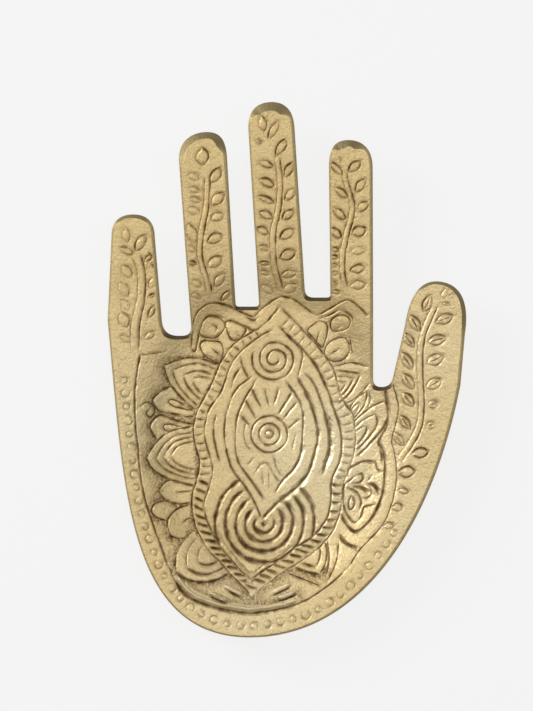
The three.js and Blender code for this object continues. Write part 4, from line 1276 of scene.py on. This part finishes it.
def triangulated(points, rim_count):
    """Triangles over points, inside the loop that the first of them make, and the loop's new numbers."""
    loop = [(i, (i + 1) % rim_count) for i in range(rim_count)]
    corners, _, triangles, sources, _, _ = delaunay_2d_cdt(
        [Vector(point) for point in points], loop, [], INSIDE_TRIANGLES, MERGE_DISTANCE
    )
    number = {source: new for new, sources_here in enumerate(sources) for source in sources_here}
    return np.array(corners), triangles, [number[i] for i in range(rim_count)]


def upper_height(relief, top, ground):
    """How far the points of the upper face stand over the plain dish."""
    height = relief.raised(top) - relief.carved(top) - GROUND_SINK * ground
    height += ground * GROUND_GRAIN * noise_at(top, GROUND_GRAIN_LENGTH, GROUND_SLICE)
    return height + SKIN_GRAIN * noise_at(top, SKIN_GRAIN_LENGTH, SKIN_SLICE)


def casting_marks(relief, top, ground, filed, lean):
    """What the finish is painted by: values on the points of the upper face, and round the edge."""
    off_top, off_edge = np.zeros(len(top)), np.zeros(len(filed))
    return {
        "recess": (relief.recess(top), off_edge),
        # Walls of the lines that face the key lamp, where a highlight is painted
        "lamp_facing_wall": (relief.lamp_facing_wall(top), off_edge),
        "wash": (relief.wash(top), off_edge),
        # Wear, and a painted sheen of light
        "wear_and_sheen": (wear_and_sheen_share(top), off_edge),
        "ground": (ground, off_edge),
        # Raised ridges, where a highlight is painted
        "ridge_highlight": (np.clip(relief.ridges(top) / BLADE_HEIGHT, 0, 1), off_edge),
        "edge": (off_top, np.ones(len(filed))),
        "filed": (off_top, filed),
        "gap_wall": (off_top, lean),
    }


def layout_middle(outline):
    """The middle of the outline's box, which the frame has as its origin."""
    return (outline.min(axis=0) + outline.max(axis=0)) / 2


def tray_casting(plans, material):
    """The casting: a carved upper face, a rounded edge with filed fingertips, and a plain underside."""
    outline = hand_outline(plans)
    outward = normals(outline, closed=True)
    count = len(outline)
    relief = carve_ornament(plans)
    width, drop, filed, lean = edge_shape(plans, outline, outward)
    rings = edge_rings(outline, outward, width, drop, np.maximum(filed, lean))
    walls = rings[1:-1]

    top, top_faces, top_rim = triangulated(carved_points(relief, rings[0][:, :2]), count)
    ground = relief.ground_share(top)
    height = upper_height(relief, top, ground)
    height[top_rim] = 0
    inner = rings[-1][:, :2]
    under_groups = [(inner, 0), (hex_lattice(inner, UNDER_STEP), UNDER_CLEARANCE)]
    under, under_faces, under_rim = triangulated(thinned(under_groups), count)

    upper_side = np.column_stack([top, top_z(top) + height])
    underside = np.column_stack([under, under_z(under)])
    points = np.vstack([upper_side, *walls, underside]) - [*layout_middle(outline), 0]
    under_start = len(points) - len(under)
    loops = [top_rim]
    loops += [list(range(start, start + count)) for start in range(len(top), under_start, count)]
    loops.append([under_start + i for i in under_rim])
    faces = [tuple(face) for face in top_faces]
    faces += [tuple(under_start + i for i in reversed(face)) for face in under_faces]
    for upper, lower in zip(loops, loops[1:]):
        faces += [(upper[i], lower[i], lower[i - 1], upper[i - 1]) for i in range(count)]

    mesh = bpy.data.meshes.new("tray_casting_carved")
    mesh.from_pydata((points * MM).tolist(), [], faces)
    for name, (on_top, on_edge) in casting_marks(relief, top, ground, filed, lean).items():
        values = np.concatenate([on_top, np.tile(on_edge, len(walls)), np.zeros(len(under))])
        mesh.attributes.new(name, "FLOAT", "POINT").data.foreach_set("value", values.astype(np.float32))
    piece = bpy.data.objects.new("tray_casting_carved", mesh)
    bpy.context.collection.objects.link(piece)
    activate(piece)
    bpy.ops.object.mode_set(mode="EDIT")
    bpy.ops.mesh.select_all(action="SELECT")
    bpy.ops.mesh.quads_convert_to_tris()
    bpy.ops.mesh.normals_make_consistent(inside=False)
    bpy.ops.object.mode_set(mode="OBJECT")
    bpy.ops.object.shade_smooth_by_angle(angle=math.radians(CAST_SMOOTH_ANGLE))
    piece.data.materials.append(material)
    return piece


def activate(piece):
    """Makes a piece the only one selected, and the active one."""
    bpy.ops.object.select_all(action="DESELECT")
    piece.select_set(True)
    bpy.context.view_layer.objects.active = piece


# Felt pads

def select_parts(pad, kind, wanted):
    """Selects the wanted ones of a pad's edges or faces, and leaves the pad in edit mode."""
    bpy.ops.object.mode_set(mode="EDIT")
    bpy.ops.mesh.select_mode(type=kind)
    bpy.ops.mesh.select_all(action="DESELECT")
    bpy.ops.object.mode_set(mode="OBJECT")
    for part in pad.data.edges if kind == "EDGE" else pad.data.polygons:
        part.select = wanted(part)
    bpy.ops.object.mode_set(mode="EDIT")


def raise_fibres(pad):
    """Roughens a pad's surface inwards, as its fibres do."""
    fibres = bpy.data.textures.new(pad.name + "_fibres", "CLOUDS")
    fibres.noise_scale = FELT_FUZZ_LENGTH * MM
    fuzz = pad.modifiers.new("fuzz", "DISPLACE")
    fuzz.texture = fibres
    fuzz.texture_coords = "LOCAL"
    fuzz.strength = FELT_FUZZ * MM
    fuzz.mid_level = 1
    bpy.ops.object.modifier_apply(modifier=fuzz.name)


def felt_pad(node, material):
    """A punched felt disc: a cylinder with ringed faces and soft edges, roughened by its fibres."""
    low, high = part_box(node)
    size = high - low
    centre = (low + high) / 2
    bpy.ops.object.select_all(action="DESELECT")
    bpy.ops.mesh.primitive_cylinder_add(
        vertices=FELT_SIDES, radius=size.x / 2, depth=size.z, location=centre
    )
    pad = bpy.context.object
    pad.name = node + "_felt"

    def lies_level(edge):
        first, second = (pad.data.vertices[i].co.z for i in edge.vertices)
        return abs(first - second) < size.z / 2

    def is_round(face):
        return len(face.vertices) == FELT_SIDES

    select_parts(pad, "EDGE", lies_level)
    bpy.ops.mesh.bevel(offset=FELT_EDGE * MM, segments=FELT_EDGE_STEPS, affect="EDGES")
    select_parts(pad, "FACE", is_round)
    for _ in range(FELT_RINGS):
        bpy.ops.mesh.inset(thickness=size.x / 2 / (FELT_RINGS + FELT_MIDDLE_RINGS), use_individual=True)
    bpy.ops.mesh.poke()
    bpy.ops.object.mode_set(mode="OBJECT")
    activate(pad)
    bpy.ops.object.transform_apply(location=True, rotation=False, scale=False)
    raise_fibres(pad)
    bpy.ops.object.shade_smooth_by_angle(angle=math.radians(FELT_SMOOTH_ANGLE))
    pad.data.materials.append(material)
    return pad


# Materials

class Value:
    """A number in a node tree. Arithmetic on it adds Math nodes."""

    def __init__(self, paint, socket):
        self.paint = paint
        self.socket = socket

    def _math(self, operation, first, second):
        node = self.paint.node("ShaderNodeMath", {"operation": operation}, {0: first, 1: second})
        return Value(self.paint, node.outputs[0])

    def __add__(self, other):
        return self._math("ADD", self, other)

    __radd__ = __add__

    def __mul__(self, other):
        return self._math("MULTIPLY", self, other)

    __rmul__ = __mul__

    def __sub__(self, other):
        return self._math("SUBTRACT", self, other)

    def __rsub__(self, other):
        return self._math("SUBTRACT", other, self)

    def or_more(self, other):
        """The larger of two numbers."""
        return self._math("MAXIMUM", self, other)


class Paint:
    """A material and its node tree."""

    # Numbers of the Mix node's colour sockets, whose names it shares with its other kinds
    MIX_SHARE = 0
    MIX_FIRST = 6
    MIX_SECOND = 7
    MIX_RESULT = 2

    def __init__(self, name, **constants):
        self.material = bpy.data.materials.new(name)
        self.material.use_nodes = True
        self.tree = self.material.node_tree
        self.shader = self.tree.nodes["Principled BSDF"]
        for socket, value in constants.items():
            self.shader.inputs[socket.replace("_", " ").title()].default_value = value

    def node(self, kind, settings=None, inputs=None):
        """A node of a kind: its settings come first, then the values or links of its sockets."""
        node = self.tree.nodes.new(kind)
        for name, value in (settings or {}).items():
            setattr(node, name, value)
        for name, value in (inputs or {}).items():
            socket = node.inputs[name]
            source = value.socket if isinstance(value, Value) else value
            if isinstance(source, bpy.types.NodeSocket):
                self.tree.links.new(source, socket)
            else:
                socket.default_value = source
        return node

    def attribute(self, name):
        """What a mark on the mesh says at each place."""
        return Value(self, self.node("ShaderNodeAttribute", {"attribute_name": name}).outputs["Fac"])

    def noise(self, length, detail, roughness):
        """Noise between 0 and 1 with a wave length in millimetres."""
        place = self.node("ShaderNodeTexCoord").outputs["Object"]
        inputs = {"Vector": place, "Scale": 1 / (length * MM), "Detail": detail, "Roughness": roughness}
        return Value(self, self.node("ShaderNodeTexNoise", None, inputs).outputs["Fac"])

    def between(self, value, low, high):
        """0 to 1 as the value goes from low to high."""
        inputs = {"Value": value, "From Min": low, "From Max": high}
        node = self.node("ShaderNodeMapRange", {"interpolation_type": "SMOOTHSTEP"}, inputs)
        return Value(self, node.outputs["Result"])

    def mix(self, share, first, second):
        """A colour between two colours."""
        inputs = {self.MIX_SHARE: share, self.MIX_FIRST: first, self.MIX_SECOND: second}
        return self.node("ShaderNodeMix", {"data_type": "RGBA"}, inputs).outputs[self.MIX_RESULT]

    def link(self, socket, value):
        """Feeds a value or a colour to one of the shader's sockets."""
        source = value.socket if isinstance(value, Value) else value
        self.tree.links.new(source, self.shader.inputs[socket])

    def bump(self, height, distance):
        """Makes the surface look rough, by a height from 0 to 1 of a distance in millimetres."""
        inputs = {"Height": height, "Distance": distance * MM, "Strength": 1.0}
        self.link("Normal", self.node("ShaderNodeBump", None, inputs).outputs["Normal"])


def colour(screen_values):
    """A colour written in screen values from 0 to 255."""
    def linear(value):
        share = value / 255
        return share / 12.92 if share <= 0.04045 else ((share + 0.055) / 1.055) ** 2.4
    return (*(linear(value) for value in screen_values), 1)


def antique_gold():
    """Pale gold over cast metal, with brown left in the recesses, painted highlights on the walls and
    ridges that face the lamps, grey edges, a painted grey reflection on the filed facets and painted shade
    in the gaps.
    """
    paint = Paint("antique_gold_cast")
    recess, wash, ground = paint.attribute("recess"), paint.attribute("wash"), paint.attribute("ground")
    edge, filed, gap_wall = paint.attribute("edge"), paint.attribute("filed"), paint.attribute("gap_wall")
    # Wear, and a painted sheen of light, strongest in the palm's middle and on the right
    wear_and_sheen = 0.12 + 0.88 * paint.attribute("wear_and_sheen")
    # Walls that face the key lamp; crest is the painted highlight on them, strongest with the painted sheen
    lamp_facing_wall = paint.attribute("lamp_facing_wall")
    crest = lamp_facing_wall * wear_and_sheen
    # Painted highlight on the raised blades and the heel's roll, where the metal is also made less metallic
    ridge_highlight = paint.between(paint.attribute("ridge_highlight"), 0.2, 0.55)
    mottle, speckle = paint.noise(*GOLD_MOTTLE), paint.noise(*GOLD_SPECKLE)
    grain, blotch = paint.noise(*GOLD_GRAIN), paint.noise(*GOLD_BLOTCH)
    patch = paint.between(paint.noise(*GOLD_PATCH), 0.38, 0.62)

    # Bare metal, paler where hands have worn it and where a sheen of light is painted
    gold = paint.mix(mottle, colour(DEEP_GOLD), colour(PALE_GOLD))
    gold = paint.mix(wear_and_sheen * 0.48, gold, colour(SHEEN_WORN_GOLD))

    # Brown wash beside the lines, and specks
    left_wash = wash * (0.12 + 1.1 * paint.between(blotch, 0.38, 0.62)) * (0.9 - 0.6 * wear_and_sheen)
    gold = paint.mix(left_wash, gold, colour(WASH_BROWN))
    gold = paint.mix(paint.between(speckle, 0.52, 0.66) * 0.35, gold, colour(SPECK_BROWN))

    # Painted highlights: on the walls of the lines that face the key lamp, and on the raised ridges
    gold = paint.mix(crest * 0.7, gold, colour(WALL_HIGHLIGHT_CREAM))
    gold = paint.mix(ridge_highlight * (0.65 + 0.3 * patch), gold, colour(RIDGE_HIGHLIGHT_CREAM))

    # Stain in the lines, and dark stipple on the ground
    stain = paint.between(recess, 0.38, 1) * (0.55 + 0.4 * patch) * (1.05 - 0.35 * wear_and_sheen)
    # The stain is cleared from the walls that face the key lamp, as part of their painted highlight
    stain = stain * (1 - lamp_facing_wall * (0.3 + 0.65 * wear_and_sheen))
    gold = paint.mix(stain, gold, colour(STAIN_BROWN))
    stipple = (0.85 - 0.95 * wear_and_sheen) * paint.between(blotch, 0.47, 0.57)
    gold = paint.mix(ground * (0.05 + 0.5 * wear_and_sheen + stipple), gold, colour(GROUND_BROWN))

    # Edges: grey, with a painted grey reflection on the filed facets and painted shade on the gaps' leaning
    # walls
    gold = paint.mix(edge * 0.6, gold, colour(EDGE_GREY))
    # Painted grey reflection on the filed facets
    gold = paint.mix(filed * 0.85, gold, colour(FACET_REFLECTION_GREY))
    # Painted shade on the gaps' leaning walls
    gold = paint.mix(gap_wall * 0.85, gold, colour(GAP_SHADE_BROWN))

    satin = 0.48 - 0.06 * wear_and_sheen + 0.1 * speckle + 0.2 * wash * (1 - wear_and_sheen)
    paint.link("Base Color", gold)
    paint.link("Metallic", 0.9 - 0.6 * ridge_highlight)
    paint.link("Roughness", satin + 0.12 * stain + 0.1 * ground + 0.1 * filed - 0.06 * crest)
    paint.bump(grain * (0.9 + 2 * ground), GOLD_BUMP)
    return paint.material


def pressed_felt():
    """Dark felt, with its fibres and small tufts."""
    paint = Paint("pressed_felt", roughness=FELT_ROUGHNESS)
    fibres = paint.noise(*FELT_FIBRES)
    tufts = paint.noise(*FELT_TUFTS)
    base = paint.mix(fibres, colour(DARK_FELT), colour(PALE_FELT))
    paint.link("Base Color", paint.mix(tufts * 0.5, base, colour(TUFT_FELT)))
    paint.bump(fibres + 0.5 * tufts, FELT_BUMP)
    return paint.material


def adhesive_film():
    """Pale foam film."""
    paint = Paint("adhesive_film", roughness=FILM_ROUGHNESS)
    foam = paint.noise(*FILM_FOAM)
    paint.link("Base Color", paint.mix(foam, colour(DARK_FILM), colour(PALE_FILM)))
    paint.bump(foam, FILM_BUMP)
    return paint.material


def grey(value):
    """A grey of a brightness from 0 to 1."""
    return (value, value, value, 1)


def pale_paper():
    """Paper that takes the tray's shadow, and glows where it is seen so that it looks evenly pale."""
    paint = Paint("pale_paper", base_color=grey(FLOOR_COLOUR), roughness=FLOOR_ROUGHNESS)
    ray = paint.node("ShaderNodeLightPath").outputs
    seen = Value(paint, ray["Is Camera Ray"])
    for kind in ("Is Glossy Ray", "Is Transmission Ray"):
        seen = seen.or_more(Value(paint, ray[kind]))
    glow = paint.node("ShaderNodeEmission", None, {"Color": grey(BACKGROUND)})
    sources = {0: seen * FLOOR_GLOW_SHARE, 1: paint.shader.outputs[0], 2: glow.outputs[0]}
    blend = paint.node("ShaderNodeMixShader", None, sources)
    paint.tree.links.new(blend.outputs[0], paint.tree.nodes["Material Output"].inputs["Surface"])
    return paint.material


# Studio

def add_camera(middle):
    """A camera straight above the middle of the view."""
    data = bpy.data.cameras.new("camera")
    data.sensor_fit = "VERTICAL"
    data.sensor_height = SENSOR_HEIGHT
    data.lens = SENSOR_HEIGHT * CAMERA_DISTANCE / VIEW_HEIGHT
    data.clip_end = CAMERA_REACH * MM
    eye = bpy.data.objects.new("camera", data)
    bpy.context.collection.objects.link(eye)
    height = CAMERA_DISTANCE + UNDERSIDE_Z + WALL
    eye.location = Vector((VIEW_CENTRE[0] - middle[0], VIEW_CENTRE[1] - middle[1], height)) * MM
    bpy.context.scene.camera = eye


def add_lamp(lamp):
    """A square lamp that faces the middle of the tray."""
    data = bpy.data.lights.new(lamp.name, "AREA")
    data.size = lamp.size * MM
    data.energy = lamp.power
    light = bpy.data.objects.new(lamp.name, data)
    light.location = Vector(lamp.place) * MM
    light.rotation_euler = (-light.location).to_track_quat("-Z", "Y").to_euler()
    bpy.context.collection.objects.link(light)


def studio():
    """Soft light all round, the lamps, and a pale floor."""
    world = bpy.data.worlds.new("studio")
    world.use_nodes = True
    bpy.context.scene.world = world
    background = world.node_tree.nodes["Background"]
    background.inputs["Color"].default_value = grey(1)
    background.inputs["Strength"].default_value = WORLD_STRENGTH
    for lamp in LAMPS:
        add_lamp(lamp)
    bpy.ops.object.select_all(action="DESELECT")
    bpy.ops.mesh.primitive_plane_add(size=FLOOR_SIZE * MM)
    floor = bpy.context.object
    floor.name = "floor"
    floor.data.materials.append(pale_paper())
    bpy.context.scene.view_settings.view_transform = "Standard"


def main():
    plans = lay_out_fingers()
    casting = tray_casting(plans, antique_gold())
    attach(casting, "root")
    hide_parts("tray_casting")
    felt = pressed_felt()
    for node in FELT_NODES:
        pad = felt_pad(node, felt)
        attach(pad, "root")
        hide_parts(node)
    film = adhesive_film()
    for node in ADHESIVE_NODES:
        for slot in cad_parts[node].material_slots:
            slot.material = film
    add_camera(layout_middle(hand_outline(plans)))
    studio()


main()
